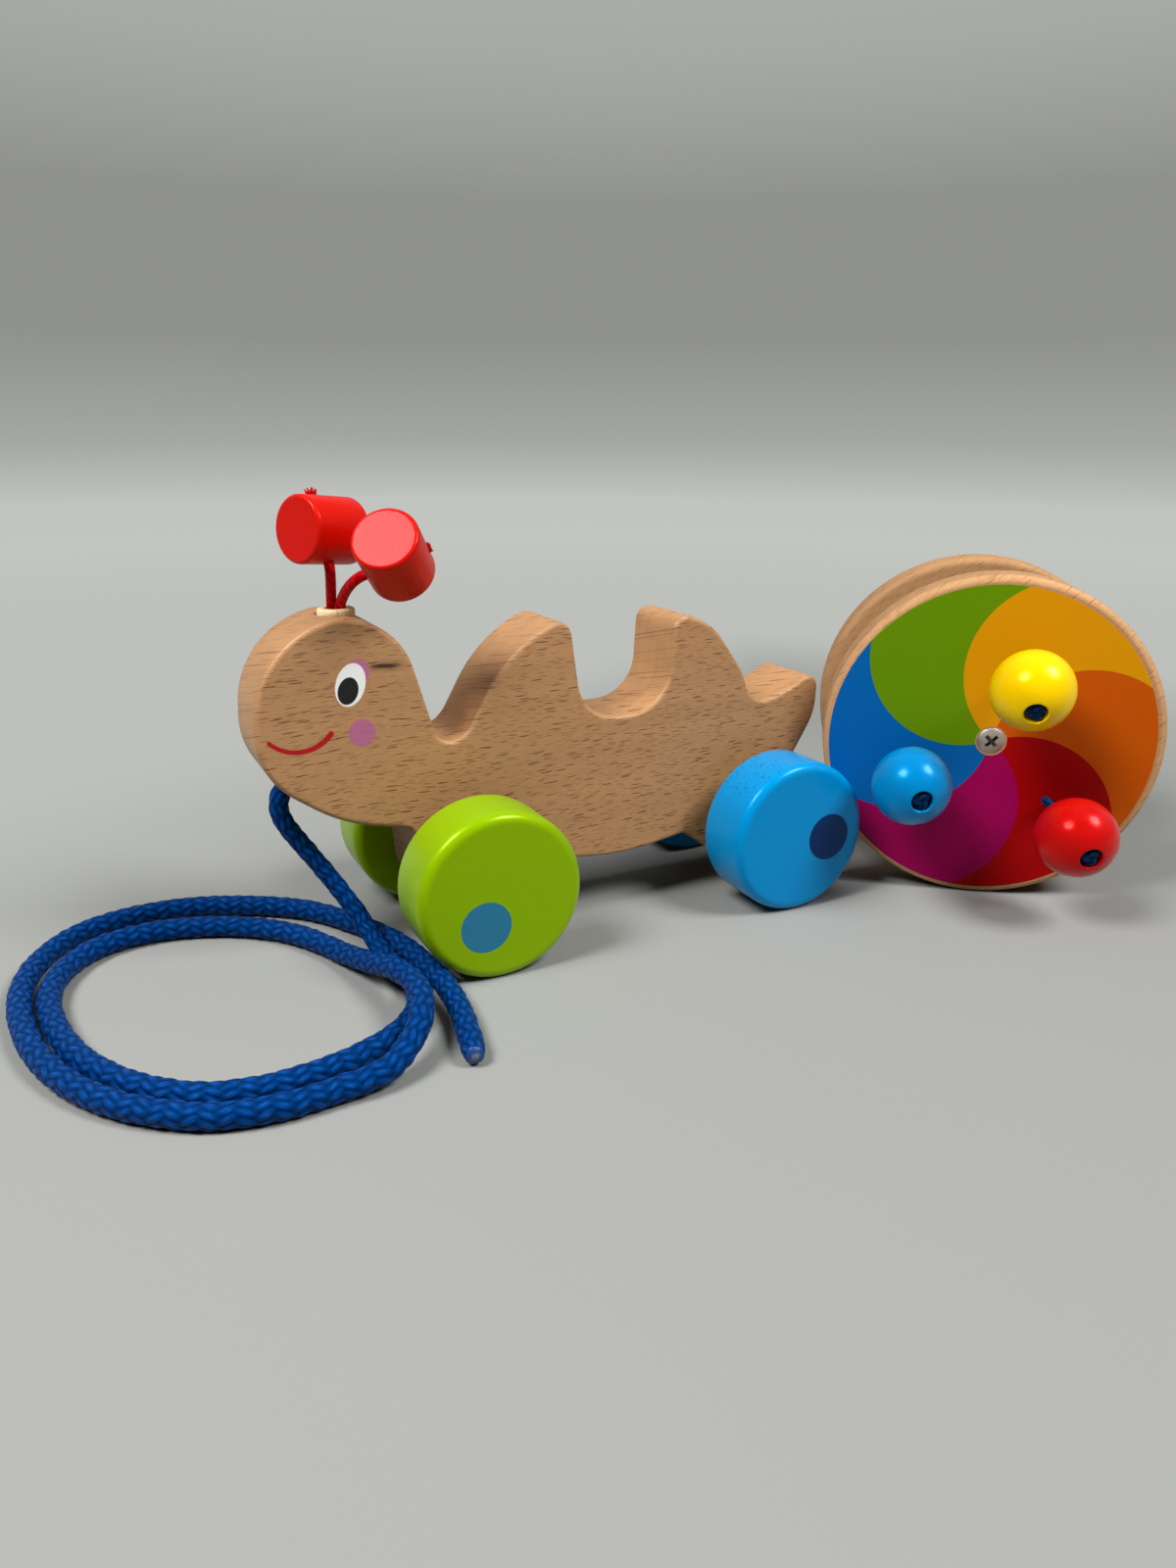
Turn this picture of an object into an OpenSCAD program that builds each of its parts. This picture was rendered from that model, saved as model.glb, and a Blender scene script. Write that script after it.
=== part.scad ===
// A wheeled pull toy: a flat wooden creature on four wheels, with two feelers on
// cords, a shell of two discs that stands beside it, and a pull cord.
// X runs from the head to the tail, Y away from the near side, Z up. The origin
// is on the floor, midway between the axles, on the body's mid-plane.

/* [Body] */
// Thickness of the body board
body_thickness = 23.5; // [18:0.5:26]
// Rounding along the body's edges
body_edge = 1.3; // [1:0.1:2.8]
// Wood below the centre of each axle
boss_drop = 10.8; // [9:0.1:12]
// Depth of the belly below the centre of the axles
belly_drop = 6.8; // [4:0.1:8]
// Width of the notch that takes the shell's hub
notch_width = 32; // [30:0.5:34]
// Height of the notch's floor above the axles
notch_floor = 37; // [33:0.1:40]
// Height of the hump in front of the notch, above the axles
front_hump = 68.3; // [66:0.1:76]
// Height of the hump behind the notch, above the axles
rear_hump = 66.2; // [60:0.1:69]

/* [Head and tail] */
// Height of the head's top above the axles
head_top = 71.2; // [67:0.1:75]
// Distance from the front axle to the nose
head_reach = 55; // [52:0.5:58]
// Height of the chin above the axles
chin_height = 17.2; // [15:0.1:19]
// Distance from the rear axle to the tail's tip
tail_reach = 23.8; // [21:0.1:27]
// Height of the tail's tip above the axles
tail_top = 45.6; // [42:0.1:48]

/* [Wheels and axles] */
// Distance between the two axles
wheelbase = 97; // [93:0.5:106]
// Diameter of a wheel
wheel_d = 46.5; // [42:0.5:50]
// Thickness of a wheel
wheel_t = 19.2; // [16:0.2:22]
// Rounding of a wheel's edges
wheel_edge = 1.3; // [0.5:0.1:2.5]
// Space between the body and each wheel
wheel_space = 7.45; // [6:0.05:10]
// Diameter of an axle
axle_d = 8; // [6:0.1:9]
// Depth of an axle's end in its wheel
axle_seat = 14; // [10:0.5:15]

/* [Feelers] */
// Diameter of the plug in the head
plug_d = 9.4; // [9:0.1:10]
// Height of the plug above the head
plug_proud = 1.2; // [0.8:0.1:2]
// Depth of the plug's hole in the head
plug_depth = 13; // [10:0.5:16]
// Diameter of a feeler's cord
feeler_cord_d = 2.4; // [2:0.1:2.6]
// Diameter of a barrel
barrel_d = 17.1; // [15:0.1:18.5]
// Diameter of a barrel's flat faces
barrel_face_d = 14.5; // [12.5:0.1:14.8]
// Length of a barrel
barrel_l = 16.9; // [15:0.1:18]
// Length over which a barrel's rim is rounded
barrel_rim = 2.1; // [1:0.1:3]
// Length of the frayed cord end above a barrel
tuft_l = 1.6; // [1:0.1:3]
// Distance of the left barrel's centre in front of the plug
left_barrel_ahead = 1.6; // [0:0.1:3]
// Distance of the left barrel's centre to the far side of the plug
left_barrel_far = 0.8; // [0:0.1:3]
// Height of the left barrel's centre above the plug
left_barrel_rise = 19.5; // [18:0.1:22]
// Distance of the right barrel's centre behind the plug
right_barrel_behind = 11.2; // [10:0.1:13]
// Distance of the right barrel's centre to the near side of the plug
right_barrel_near = 16.2; // [15:0.1:18]
// Height of the right barrel's centre above the plug
right_barrel_rise = 14.2; // [13:0.1:16]

/* [Shell] */
// Diameter of a disc
disc_d = 100; // [90:0.5:102]
// Thickness of a disc
disc_t = 14.3; // [12:0.1:16]
// Rounding of a disc's edges
disc_edge = 1.5; // [0.8:0.1:3]
// Space between the two discs
disc_space = 31.4; // [28:0.1:34]
// Diameter of the hub between the discs
hub_d = 27; // [24:0.5:29]
// Diameter of a screw's head
screw_head_d = 8.1; // [7.4:0.1:9]
// Diameter of a screw's shank
screw_d = 4; // [3.5:0.1:4.5]
// Length of a screw's shank
screw_l = 28; // [24:0.5:29]
// Turn of the shell away from the body
shell_turn = 37.7; // [34:0.1:42]
// Space between the rear wheel's rim and the front disc's rim, where they are nearest
shell_gap = 0.9; // [0.5:0.1:12]
// Distance from the near wheels' faces out to the centre of the front disc's face
shell_out = 14; // [12:0.1:20]

/* [Beads] */
// Diameter of a bead
bead_d = 24; // [20:0.1:25]
// Diameter of the hole that takes a bead's knot
bead_hole_d = 7.5; // [6:0.1:8.5]
// Depth of the hole that takes a bead's knot
bead_hole_l = 6; // [5:0.1:8]
// Diameter of a bead's string
string_d = 2.4; // [2:0.1:2.8]
// Diameter of the circle of the three string holes
string_circle_d = 58; // [54:0.5:60]
// Depth of a string hole
string_hole_l = 8; // [5:0.5:10]
// Distance from the disc to the centre of the yellow bead, along its string
yellow_reach = 19.6; // [18:0.1:22]
// Distance from the disc to the centre of the blue bead, along its string
blue_reach = 18.5; // [17:0.1:22]
// Distance from the disc to the centre of the red bead, along its string
red_reach = 20.2; // [16.5:0.1:22]
// Distance by which the red bead's string bends aside
red_aside = 2; // [0:0.1:3]
// Distance by which the red bead's string bends up
red_rise = 2.3; // [0:0.1:3]

/* [Pull cord] */
// Diameter of the pull cord
pull_cord_d = 6; // [5:0.1:6.1]

/* [Hidden] */
$fn = 64;

// Clearances: a glued or driven piece, a turning piece, and a piece with room
snug = 0.02;
running = 0.08;
room = 0.3;
// Length by which a cut runs past the wood that it opens
past = 1;

// Places of the axles
axle_x = wheelbase / 2;
axle_z = wheel_d / 2;
wheel_y = body_thickness / 2 + wheel_space;

// The body's outline seen from the near side, counter-clockwise from the throat.
// Each corner is [x, z, radius], measured from the front axle, the middle or the
// rear axle, and from the height of the axles.
front = -axle_x;
rear = axle_x;
notch_x = notch_width / 2;
lobe_r = 10;
body_corners = [
    [front - 15, 12.8, 3],
    [front - 13, -boss_drop, lobe_r],
    [front + 14.5, -boss_drop, lobe_r],
    [front + 23.5, -belly_drop + 4, 4],
    [0, -belly_drop, 85],
    [rear - 23.5, -belly_drop + 4, 4],
    [rear - 14.5, -boss_drop, lobe_r],
    [rear + 12.5, -boss_drop, lobe_r],
    [rear + 12, 11.2, 14],
    [rear + tail_reach - 0.3, tail_top - 15.3, 19],
    [rear + tail_reach, tail_top, 4],
    [rear + tail_reach - 10.3, tail_top - 5.8, 10],
    [rear - 1.5, 34.2, 11],
    [rear - 5, 45.8, 30],
    [notch_x + 15, rear_hump - 3.5, 25],
    [notch_x + 2, rear_hump, 5],
    [notch_x + 0.5, notch_floor + 0.8, 13.5],
    [-notch_x + 4.5, notch_floor, 12.5],
    [-notch_x, front_hump, 4.6],
    [-notch_x - 18.8, front_hump - 9, 42],
    [front + 2.5, 39.3, 11],
    [front - 5.3, 31.4, 5.2],
    [front - 16, head_top - 2.9, 19],
    [front - 31.5, head_top + 0.3, 16],
    [front - head_reach + 2, head_top - 4, 40],
    [front - head_reach - 0.2, 32.5, 28.5],
    [front - 34, chin_height, 42]
];
// Degrees of a corner's arc between two of its points
corner_step = 13;
// Number of steps in the rounding of an edge
edge_steps = 4;

// The plug and the feelers; a feeler's centre is measured from the plug's top
plug_at = [front - 29.3, 0, axle_z + head_top + plug_proud];
root_gap = 0.4;
root_space = feeler_cord_d + root_gap;
plug_bore_r = (root_space + feeler_cord_d + root_gap) / 2;
plug_bore_l = 3;
// Each feeler: side of its root, barrel's centre, turn, lift, turn of its bore
// about the barrel's axis, and place of the bore along the axis
left_barrel_at = [-left_barrel_ahead, left_barrel_far, left_barrel_rise];
right_barrel_at = [right_barrel_behind, -right_barrel_near, right_barrel_rise];
left_feeler = [-1, left_barrel_at, -153.4, 5.5, 112, 1];
right_feeler = [1, right_barrel_at, -125.2, 36.6, 28, -2.5];

// Half of a standing round's width at the height z above the floor
function half_chord(d, z) = sqrt(max(0, z * (d - z)));
// Distance from the rear axle back to the centre of the front disc's face
shell_back = shell_gap - disc_edge * sin(shell_turn) + max([for (k = [0:0.01:1])
    half_chord(wheel_d, k * wheel_d) + cos(shell_turn) * half_chord(disc_d, k * wheel_d)]);
// The shell's front disc stands in its own frame: X along the face, Y to the back
shell_at = [rear + shell_back, -(wheel_y + wheel_t + shell_out), 0];
shell_len = 2 * disc_t + disc_space;
screw_sink = 2.6;
// Each string: angle of its hole, reach, turn aside and droop of its bead, and the
// bead's place [across, up] from the hole's line
yellow_string = [76, yellow_reach, -3, 23, [0, 0]];
blue_string = [196, blue_reach, 11.6, 6.7, [0, 0]];
red_string = [316, red_reach, 11.7, 13, [-red_aside, red_rise]];

// The pull cord's route, chosen point by point: down from its hole in the head,
// then round two loose loops that lie on the floor
lead_route = [
    [-89, 0, 56], [-91.5, 0, 53], [-94, 0, 50], [-96, 0, 47], [-96.5, 0, 43],
    [-95, 0, 38.5], [-92, 0, 33.5], [-87.5, -0.5, 26.5], [-83.5, -1.5, 20], [-80, -4, 14],
    [-77.5, -8, 9], [-76, -15, 5.1], [-74.5, -23, 3.3]
];
loop_route = [
    [-74.5, -23, 3.3], [-73, -31.5, 3.1], [-74, -40.5, 3.1], [-77.5, -50, 3.1],
    [-84.5, -57.5, 3.1], [-94, -62.5, 3.1], [-105, -65.5, 3.1], [-118, -66, 3.1],
    [-131, -62, 3.1], [-143, -51, 3.1], [-152, -35, 3.1], [-156.5, -17, 3.1],
    [-157, 0, 3.1], [-152, 14.5, 3.1], [-142, 24, 3.1], [-127, 26.5, 3.1],
    [-110, 21, 3.1], [-97, 11, 3.1], [-89.5, 0, 3.1], [-84.5, -12, 3.5],
    [-81, -24.5, 5.9], [-78, -36.5, 8.9], [-76.5, -48.5, 9.9], [-78.5, -59.5, 9.7],
    [-84, -68, 7.3], [-92, -73, 4.3], [-104, -74, 3.1], [-117, -74.5, 3.1],
    [-130, -71, 3.1], [-142.5, -62, 3.1], [-152.5, -49.5, 3.1], [-159.5, -34, 3.1],
    [-163, -18, 3.1], [-164, -2, 3.1], [-162, 12, 3.1], [-156.5, 25, 3.1],
    [-147.5, 35, 3.1], [-134.5, 40, 3.1], [-118, 39.5, 3.1], [-101, 32.5, 3.1],
    [-87, 22, 3.1], [-77.5, 8, 3.1], [-71.5, -5, 3.1], [-68, -17, 3.1],
    [-66.5, -29, 3.1], [-66, -41, 3.1], [-67, -53, 3.1], [-69, -64, 3.1],
    [-71.5, -74.5, 3.1]
];

// Room round a string in the disc and in its bead, and round a knot in its hole
string_room = 0.7;
string_slide = 0.2;
knot_room = 0.5;
// The screws' point, and the length, width and depth of their cross
point_l = 3;
cross_l = 0.55 * screw_head_d;
cross_w = 0.13 * screw_head_d;
cross_depth = 0.9;

// The pull cord's hole follows the cord's first run and opens past the underside
pull_way = lead_route[1] - lead_route[0];
pull_hole_l = 14;
// The cord's direction where its two pieces meet, so that their ends lie face to face
pull_meet = loop_route[1] - lead_route[len(lead_route) - 2];

// Vectors
function unit(v) = v / norm(v);
function side_of(a, b) = a[0] * b[1] - a[1] * b[0];
function flat(v) = [v[0], v[1]];

// Round an outline's corners. Where two roundings meet on a short edge both
// shrink alike, and an inset keeps the number of points.
function at(list, i) = list[(i + len(list)) % len(list)];
function corner_angle(c, i) =
    let (a = unit(flat(at(c, i - 1) - c[i])), b = unit(flat(at(c, i + 1) - c[i])))
    acos(max(-1, min(1, a * b)));
function setback(c, i) = c[i][2] / tan(corner_angle(c, i) / 2);
function edge_share(c, i) =
    let (j = (i + len(c)) % len(c), k = (j + 1) % len(c))
    min(1, 0.99 * norm(flat(c[k] - c[j])) / (setback(c, j) + setback(c, k)));
function corner_r(c, i) = c[i][2] * min(edge_share(c, i - 1), edge_share(c, i));
function corner_arc(c, i, inset) =
    let (
        a = unit(flat(at(c, i - 1) - c[i])),
        b = unit(flat(at(c, i + 1) - c[i])),
        half = corner_angle(c, i) / 2,
        r = corner_r(c, i),
        mid = flat(c[i]) + unit(a + b) * r / sin(half),
        hollow = side_of(a, b) > 0,
        out = hollow ? r + inset : r - inset,
        turn = 180 - 2 * half,
        steps = max(1, ceil(turn / corner_step)),
        to_mid = unit(a + b),
        aim = atan2(-to_mid[1], -to_mid[0]),
        way = hollow ? -1 : 1
    )
    [for (k = [0:steps])
        let (g = aim + way * turn * (k / steps - 0.5))
        mid + out * [cos(g), sin(g)]];
function outline(c, inset) =
    [for (i = [0:len(c) - 1]) for (p = corner_arc(c, i, inset)) p];

// A board of the outline's shape with rounded edges, its faces square to Y
module rounded_board(corners, thickness, edge) {
    rise = [for (k = [0:edge_steps]) 90 * k / edge_steps];
    near = [for (g = rise) [edge * (1 - sin(g)), -thickness / 2 + edge * (1 - cos(g))]];
    rings = concat(near, [for (k = [edge_steps:-1:0]) [near[k][0], -near[k][1]]]);
    placed = [for (c = corners) [c[0], c[1] + axle_z, c[2]]];
    loops = [for (s = rings) [for (p = outline(placed, s[0])) [p[0], s[1], p[1]]]];
    n = len(loops[0]);
    last = len(rings) - 1;
    polyhedron(
        points = [for (ring = loops) for (p = ring) p],
        faces = concat(
            [[for (j = [n - 1:-1:0]) j]],
            [for (k = [0:last - 1]) for (j = [0:n - 1])
                let (a = k * n + j, b = k * n + (j + 1) % n) each
                    [[a, b, b + n], [a, b + n, a + n]]],
            [[for (j = [0:n - 1]) last * n + j]]
        )
    );
}

// A smooth curve through a route's points, with some points between each two
function route_point(p, i) =
    i < 0 ? 2 * p[0] - p[1] :
    i > len(p) - 1 ? 2 * p[len(p) - 1] - p[len(p) - 2] : p[i];
function between(a, b, c, d, t) =
    0.5 * (2 * b + (c - a) * t + (2 * a - 5 * b + 4 * c - d) * t * t
        + (3 * b - a - 3 * c + d) * t * t * t);
function curve(p, parts) = concat(
    [for (i = [0:len(p) - 2]) for (k = [0:parts - 1])
        between(route_point(p, i - 1), p[i], p[i + 1], route_point(p, i + 2), k / parts)],
    [p[len(p) - 1]]
);
function bend(a, b, c, d, t) =
    pow(1 - t, 3) * a + 3 * pow(1 - t, 2) * t * b + 3 * (1 - t) * t * t * c + pow(t, 3) * d;

// Directions along a path with its two end directions given, and a side direction
// carried along it without twist
function along(p, first, last) =
    let (n = len(p) - 1)
    [for (i = [0:n]) unit(i == 0 ? first : i == n ? last : p[i + 1] - p[i - 1])];
function square_to(v, t) = unit(v - (v * t) * t);
function carried(dirs, side, i = 0) =
    i == len(dirs) ? [] :
    let (s = square_to(side, dirs[i])) concat([s], carried(dirs, s, i + 1));

// A tube along a path, with its own radius at each point and its ends square to
// the directions first and last
module tube(path, radii, sides, side, first, last) {
    dirs = along(path, first, last);
    across = carried(dirs, side);
    end = len(path) - 1;
    polyhedron(
        points = [for (i = [0:end]) for (j = [0:sides - 1])
            let (g = 360 * (j + 0.5) / sides)
            path[i] + radii[i] * (cos(g) * across[i] + sin(g) * cross(dirs[i], across[i]))],
        faces = concat(
            [[for (j = [sides - 1:-1:0]) j]],
            [for (i = [0:end - 1]) for (j = [0:sides - 1])
                let (a = i * sides + j, b = i * sides + (j + 1) % sides) each
                    [[a, b, b + sides], [a, b + sides, a + sides]]],
            [[for (j = [0:sides - 1]) end * sides + j]]
        )
    );
}

// Least gap of a round cord to itself, over points that lie well apart along it
function least_gap(p, d, apart) =
    min([for (i = [0:len(p) - 1]) for (j = [i + apart:1:len(p) - 1]) norm(p[i] - p[j])]) - d;
cord_route = concat(lead_route, [for (i = [1:len(loop_route) - 1]) loop_route[i]]);
cord_gap = least_gap(curve(cord_route, 4), pull_cord_d, 16);
echo(str("least gap of the pull cord to itself: ", cord_gap, " mm"));

// A rod along Y from y0 to y1
module rod_y(r, y0, y1) {
    translate([0, y1, 0]) rotate([90, 0, 0]) cylinder(r = r, h = y1 - y0);
}

// A round slab along Y with rounded edges, from y0 to y1
module slab_y(d, y0, y1, edge) {
    t = y1 - y0;
    translate([0, y1, 0]) rotate([90, 0, 0]) rotate_extrude($fn = 96) {
        square([d / 2 - edge, t]);
        translate([0, edge]) square([d / 2, t - 2 * edge]);
        for (h = [edge, t - edge]) translate([d / 2 - edge, h]) circle(r = edge, $fn = 32);
    }
}

module body() {
    color([0.80, 0.58, 0.36]) difference() {
        rounded_board(body_corners, body_thickness, body_edge);
        for (x = [front, rear]) translate([x, 0, axle_z])
            rod_y(axle_d / 2 + running, -body_thickness / 2 - past, body_thickness / 2 + past);
        translate([plug_at[0], 0, plug_at[2] - plug_proud - plug_depth])
            cylinder(r = plug_d / 2 + room, h = plug_depth + past);
        // The cord's end meets the floor of its hole, which opens through the underside
        translate(lead_route[0] - unit(pull_way) * snug)
            rotate([0, atan2(pull_way[0], pull_way[2]), 0])
                cylinder(r = pull_cord_d / 2 + room, h = pull_hole_l + snug);
    }
}

// An axle turns in the body and is fixed in its two wheels
module axle(x) {
    end = wheel_y + axle_seat;
    color([0.82, 0.66, 0.46]) translate([x, 0, axle_z]) rod_y(axle_d / 2, -end, end);
}
module front_axle() { axle(front); }
module rear_axle() { axle(rear); }

// A wheel at an axle, on the near side for -1 and the far side for 1
module wheel(x, side) {
    translate([x, 0, axle_z]) difference() {
        if (side < 0) slab_y(wheel_d, -wheel_y - wheel_t, -wheel_y, wheel_edge);
        if (side > 0) slab_y(wheel_d, wheel_y, wheel_y + wheel_t, wheel_edge);
        rod_y(axle_d / 2 + snug, -wheel_y - axle_seat - room, wheel_y + axle_seat + room);
    }
}
module front_wheel_near() { color([0.46, 0.66, 0.03]) wheel(front, -1); }
module front_wheel_far() { color([0.46, 0.66, 0.03]) wheel(front, 1); }
module rear_wheel_near() { color([0.00, 0.49, 0.71]) wheel(rear, -1); }
module rear_wheel_far() { color([0.00, 0.49, 0.71]) wheel(rear, 1); }

// The plug stands on the floor of its hole, and both cords leave its bore
module antenna_plug() {
    h = plug_depth + plug_proud;
    color([0.88, 0.72, 0.50]) translate([plug_at[0], plug_at[1], plug_at[2] - h]) difference() {
        cylinder(d = plug_d, h = h);
        translate([0, 0, h - plug_bore_l]) cylinder(r = plug_bore_r, h = plug_bore_l + past);
    }
}

// A feeler's barrel lies along X in its own frame, with its bore square to it
module in_barrel_frame(feeler) {
    translate(plug_at + feeler[1]) rotate([0, 0, feeler[2]]) rotate([0, -feeler[3], 0]) children();
}
function turned(v, feeler) =
    let (
        a = feeler[2], b = feeler[3],
        x = v[0] * cos(b) - v[2] * sin(b),
        z = v[0] * sin(b) + v[2] * cos(b)
    )
    [x * cos(a) - v[1] * sin(a), x * sin(a) + v[1] * cos(a), z];
module barrel(feeler) {
    half = barrel_l / 2;
    face_r = barrel_face_d / 2;
    swell = barrel_d / 2 - face_r;
    rim = [for (g = [0:15:90]) [face_r + swell * sin(g), half - barrel_rim * (1 - cos(g))]];
    mirrored = [for (i = [len(rim) - 1:-1:0]) [rim[i][0], -rim[i][1]]];
    in_barrel_frame(feeler) difference() {
        rotate([0, 90, 0]) rotate_extrude($fn = 96)
            polygon(concat([[0, -half], [0, half]], rim, mirrored));
        translate([feeler[5], 0, 0]) rotate([feeler[4], 0, 0])
            rod_y(feeler_cord_d / 2 + running, -barrel_d, barrel_d);
    }
}
// A feeler's cord rises from the plug's bore, bends to the barrel and runs
// straight through it, with a frayed end beyond
module feeler_cord(feeler) {
    r = feeler_cord_d / 2;
    root = plug_at + [feeler[0] * root_space / 2, 0, 0];
    bore = turned([0, cos(feeler[4]), sin(feeler[4])], feeler);
    middle = plug_at + feeler[1] + turned([feeler[5], 0, 0], feeler);
    enter = middle - bore * (barrel_d / 2 + 0.5);
    leave = middle + bore * barrel_d / 2;
    pull = norm(enter - root) / 2.6;
    path = concat(
        [for (k = [0:7]) bend(root, root + [0, 0, pull], enter - bore * pull, enter, k / 7)],
        [middle, leave, leave + bore * tuft_l * 0.6, leave + bore * tuft_l]
    );
    radii = concat([for (k = [0:9]) r], [1.2 * r, 1.35 * r]);
    tube(path, radii, 8, [0, 1, 0], [0, 0, 1], bore);
}
module antenna_cord_left() { color([0.45, 0.02, 0.07]) feeler_cord(left_feeler); }
module antenna_cord_right() { color([0.45, 0.02, 0.07]) feeler_cord(right_feeler); }
module antenna_barrel_left() { color([0.83, 0.09, 0.03]) barrel(left_feeler); }
module antenna_barrel_right() { color([0.83, 0.09, 0.03]) barrel(right_feeler); }

// The pull cord down to the floor, and its two loops with the free end
module cord_piece(path, sides, first, last) {
    color([0.05, 0.25, 0.62])
        tube(path, [for (p = path) pull_cord_d / 2], sides, [0, 1, 0], first, last);
}
module pull_cord() {
    cord_piece(lead_route, 8, pull_way, pull_meet);
}
module pull_cord_loops() {
    full = curve(cord_route, 2);
    n = len(full) - 1;
    path = [for (i = [2 * len(lead_route) - 2:n]) full[i]];
    cord_piece(path, 6, pull_meet, full[n] - full[n - 1]);
}

// The shell's own frame, with the disc's centre on its Y axis
module in_shell_frame() {
    translate(shell_at) rotate([0, 0, -shell_turn]) translate([0, 0, disc_d / 2]) children();
}

// The hub fills the space between the discs but for its running gaps
module shell_hub() {
    y0 = disc_t + room;
    y1 = disc_t + disc_space - room;
    pilot = screw_l - disc_t + room;
    color([0.80, 0.60, 0.38]) in_shell_frame() difference() {
        rod_y(hub_d / 2, y0, y1);
        rod_y(screw_d / 2 + snug, y0 - past, min(y0 + pilot, shell_len / 2 - room));
        rod_y(screw_d / 2 + snug, max(y1 - pilot, shell_len / 2 + room), y1 + past);
    }
}

// A disc with the sunk hole of its screw, which lies on the face at y0
module disc(y0, face) {
    y1 = y0 + disc_t;
    out = face < 0 ? y0 : y1;
    difference() {
        slab_y(disc_d, y0, y1, disc_edge);
        rod_y(screw_d / 2 + running, y0 - past, y1 + past);
        translate([0, out, 0]) rotate([face < 0 ? -90 : 90, 0, 0])
            cylinder(r1 = screw_head_d / 2 + running, r2 = screw_d / 2 + running, h = screw_sink);
    }
}
module shell_disc_front() {
    color([0.84, 0.64, 0.42]) in_shell_frame() difference() {
        disc(0, -1);
        for (s = [yellow_string, blue_string, red_string])
            translate(string_root(s)) rod_y(string_d / 2 + string_room, -past, string_hole_l);
    }
}
module shell_disc_back() {
    color([0.84, 0.64, 0.42]) in_shell_frame() disc(disc_t + disc_space, 1);
}

// A countersunk screw with a low dome and a cross recess; it points along +Y
module screw() {
    r = screw_head_d / 2;
    dome = 0.9;
    difference() {
        rotate([-90, 0, 0]) rotate_extrude($fn = 64) polygon(concat(
            [[0, -dome]],
            [for (g = [15:15:90]) [r * sin(g), -dome * cos(g)]],
            [[screw_d / 2, screw_sink], [screw_d / 2, screw_l - point_l], [0, screw_l]]
        ));
        for (g = [45, -45]) rotate([0, g, 0])
            translate([-cross_l / 2, -past - dome, -cross_w / 2])
                cube([cross_l, past + dome + cross_depth, cross_w]);
    }
}
module shell_screw_front() { color([0.62, 0.60, 0.57]) in_shell_frame() screw(); }
module shell_screw_back() {
    color([0.62, 0.60, 0.57]) in_shell_frame() translate([0, shell_len, 0]) rotate([0, 0, 180]) screw();
}

// A string's root in the front disc's face, and the frame along the string, whose
// -Y runs out from the disc
function string_root(s) = string_circle_d / 2 * [cos(s[0]), 0, sin(s[0])];
module in_string_frame(s) {
    in_shell_frame() translate(string_root(s)) rotate([s[3], 0, s[2]]) children();
}
module bead(s) {
    in_string_frame(s) translate([s[4][0], -s[1], s[4][1]]) difference() {
        rotate([90, 0, 0]) sphere(d = bead_d, $fn = 96);
        rod_y(string_d / 2 + string_slide, -bead_d, bead_d);
        rod_y(bead_hole_d / 2, -bead_d, -bead_d / 2 + bead_hole_l);
    }
}
// A string leaves its hole square to the disc, bends to its bead, runs straight
// through it and ends in a knot in the bead's wide hole
module bead_string(s) {
    r = string_d / 2;
    knot_r = bead_hole_d / 2 - knot_room;
    seat = -s[1] - bead_d / 2 + bead_hole_l;
    knot = [[0.1, r], [0.6, knot_r * 0.8], [2, knot_r], [3.4, knot_r * 0.9], [4.4, knot_r * 0.5]];
    out = [-sin(s[2]), -cos(s[2]) * cos(s[3]), cos(s[2]) * sin(s[3])];
    bore = [0, -1, 0];
    enter = [s[4][0], -s[1] + bead_d / 2, s[4][1]];
    pull = norm(enter) / 2.6;
    path = concat(
        [for (k = [0:5]) bend([0, 0, 0], out * pull, enter - bore * pull, enter, k / 5)],
        [for (k = knot) [enter[0], seat - k[0], enter[2]]]
    );
    radii = concat([for (k = [0:5]) r], [for (k = knot) k[1]]);
    in_string_frame(s) tube(path, radii, 8, [0, 0, 1], out, bore);
}
module bead_yellow() { color([1.00, 0.90, 0.00]) bead(yellow_string); }
module bead_blue() { color([0.00, 0.55, 0.86]) bead(blue_string); }
module bead_red() { color([0.78, 0.05, 0.03]) bead(red_string); }
module bead_string_yellow() { color([0.02, 0.12, 0.35]) bead_string(yellow_string); }
module bead_string_blue() { color([0.02, 0.12, 0.35]) bead_string(blue_string); }
module bead_string_red() { color([0.02, 0.12, 0.35]) bead_string(red_string); }

body();
front_axle();
front_wheel_near();
front_wheel_far();
rear_axle();
rear_wheel_near();
rear_wheel_far();
antenna_plug();
antenna_cord_left();
antenna_barrel_left();
antenna_cord_right();
antenna_barrel_right();
pull_cord();
pull_cord_loops();
shell_hub();
shell_disc_front();
shell_disc_back();
shell_screw_front();
shell_screw_back();
bead_yellow();
bead_blue();
bead_red();
bead_string_yellow();
bead_string_blue();
bead_string_red();
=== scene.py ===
"""A wooden pull toy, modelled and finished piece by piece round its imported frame.

The toy's measures are in millimetres, and MM turns them into the metres of Blender and of
the panel. X runs from the head to the tail, Y away from the near side, Z up from the floor.
"""

import math
import random

import bmesh
import bpy
from bpy.props import FloatProperty, FloatVectorProperty, PointerProperty
from mathutils import Matrix, Vector, noise


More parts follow.
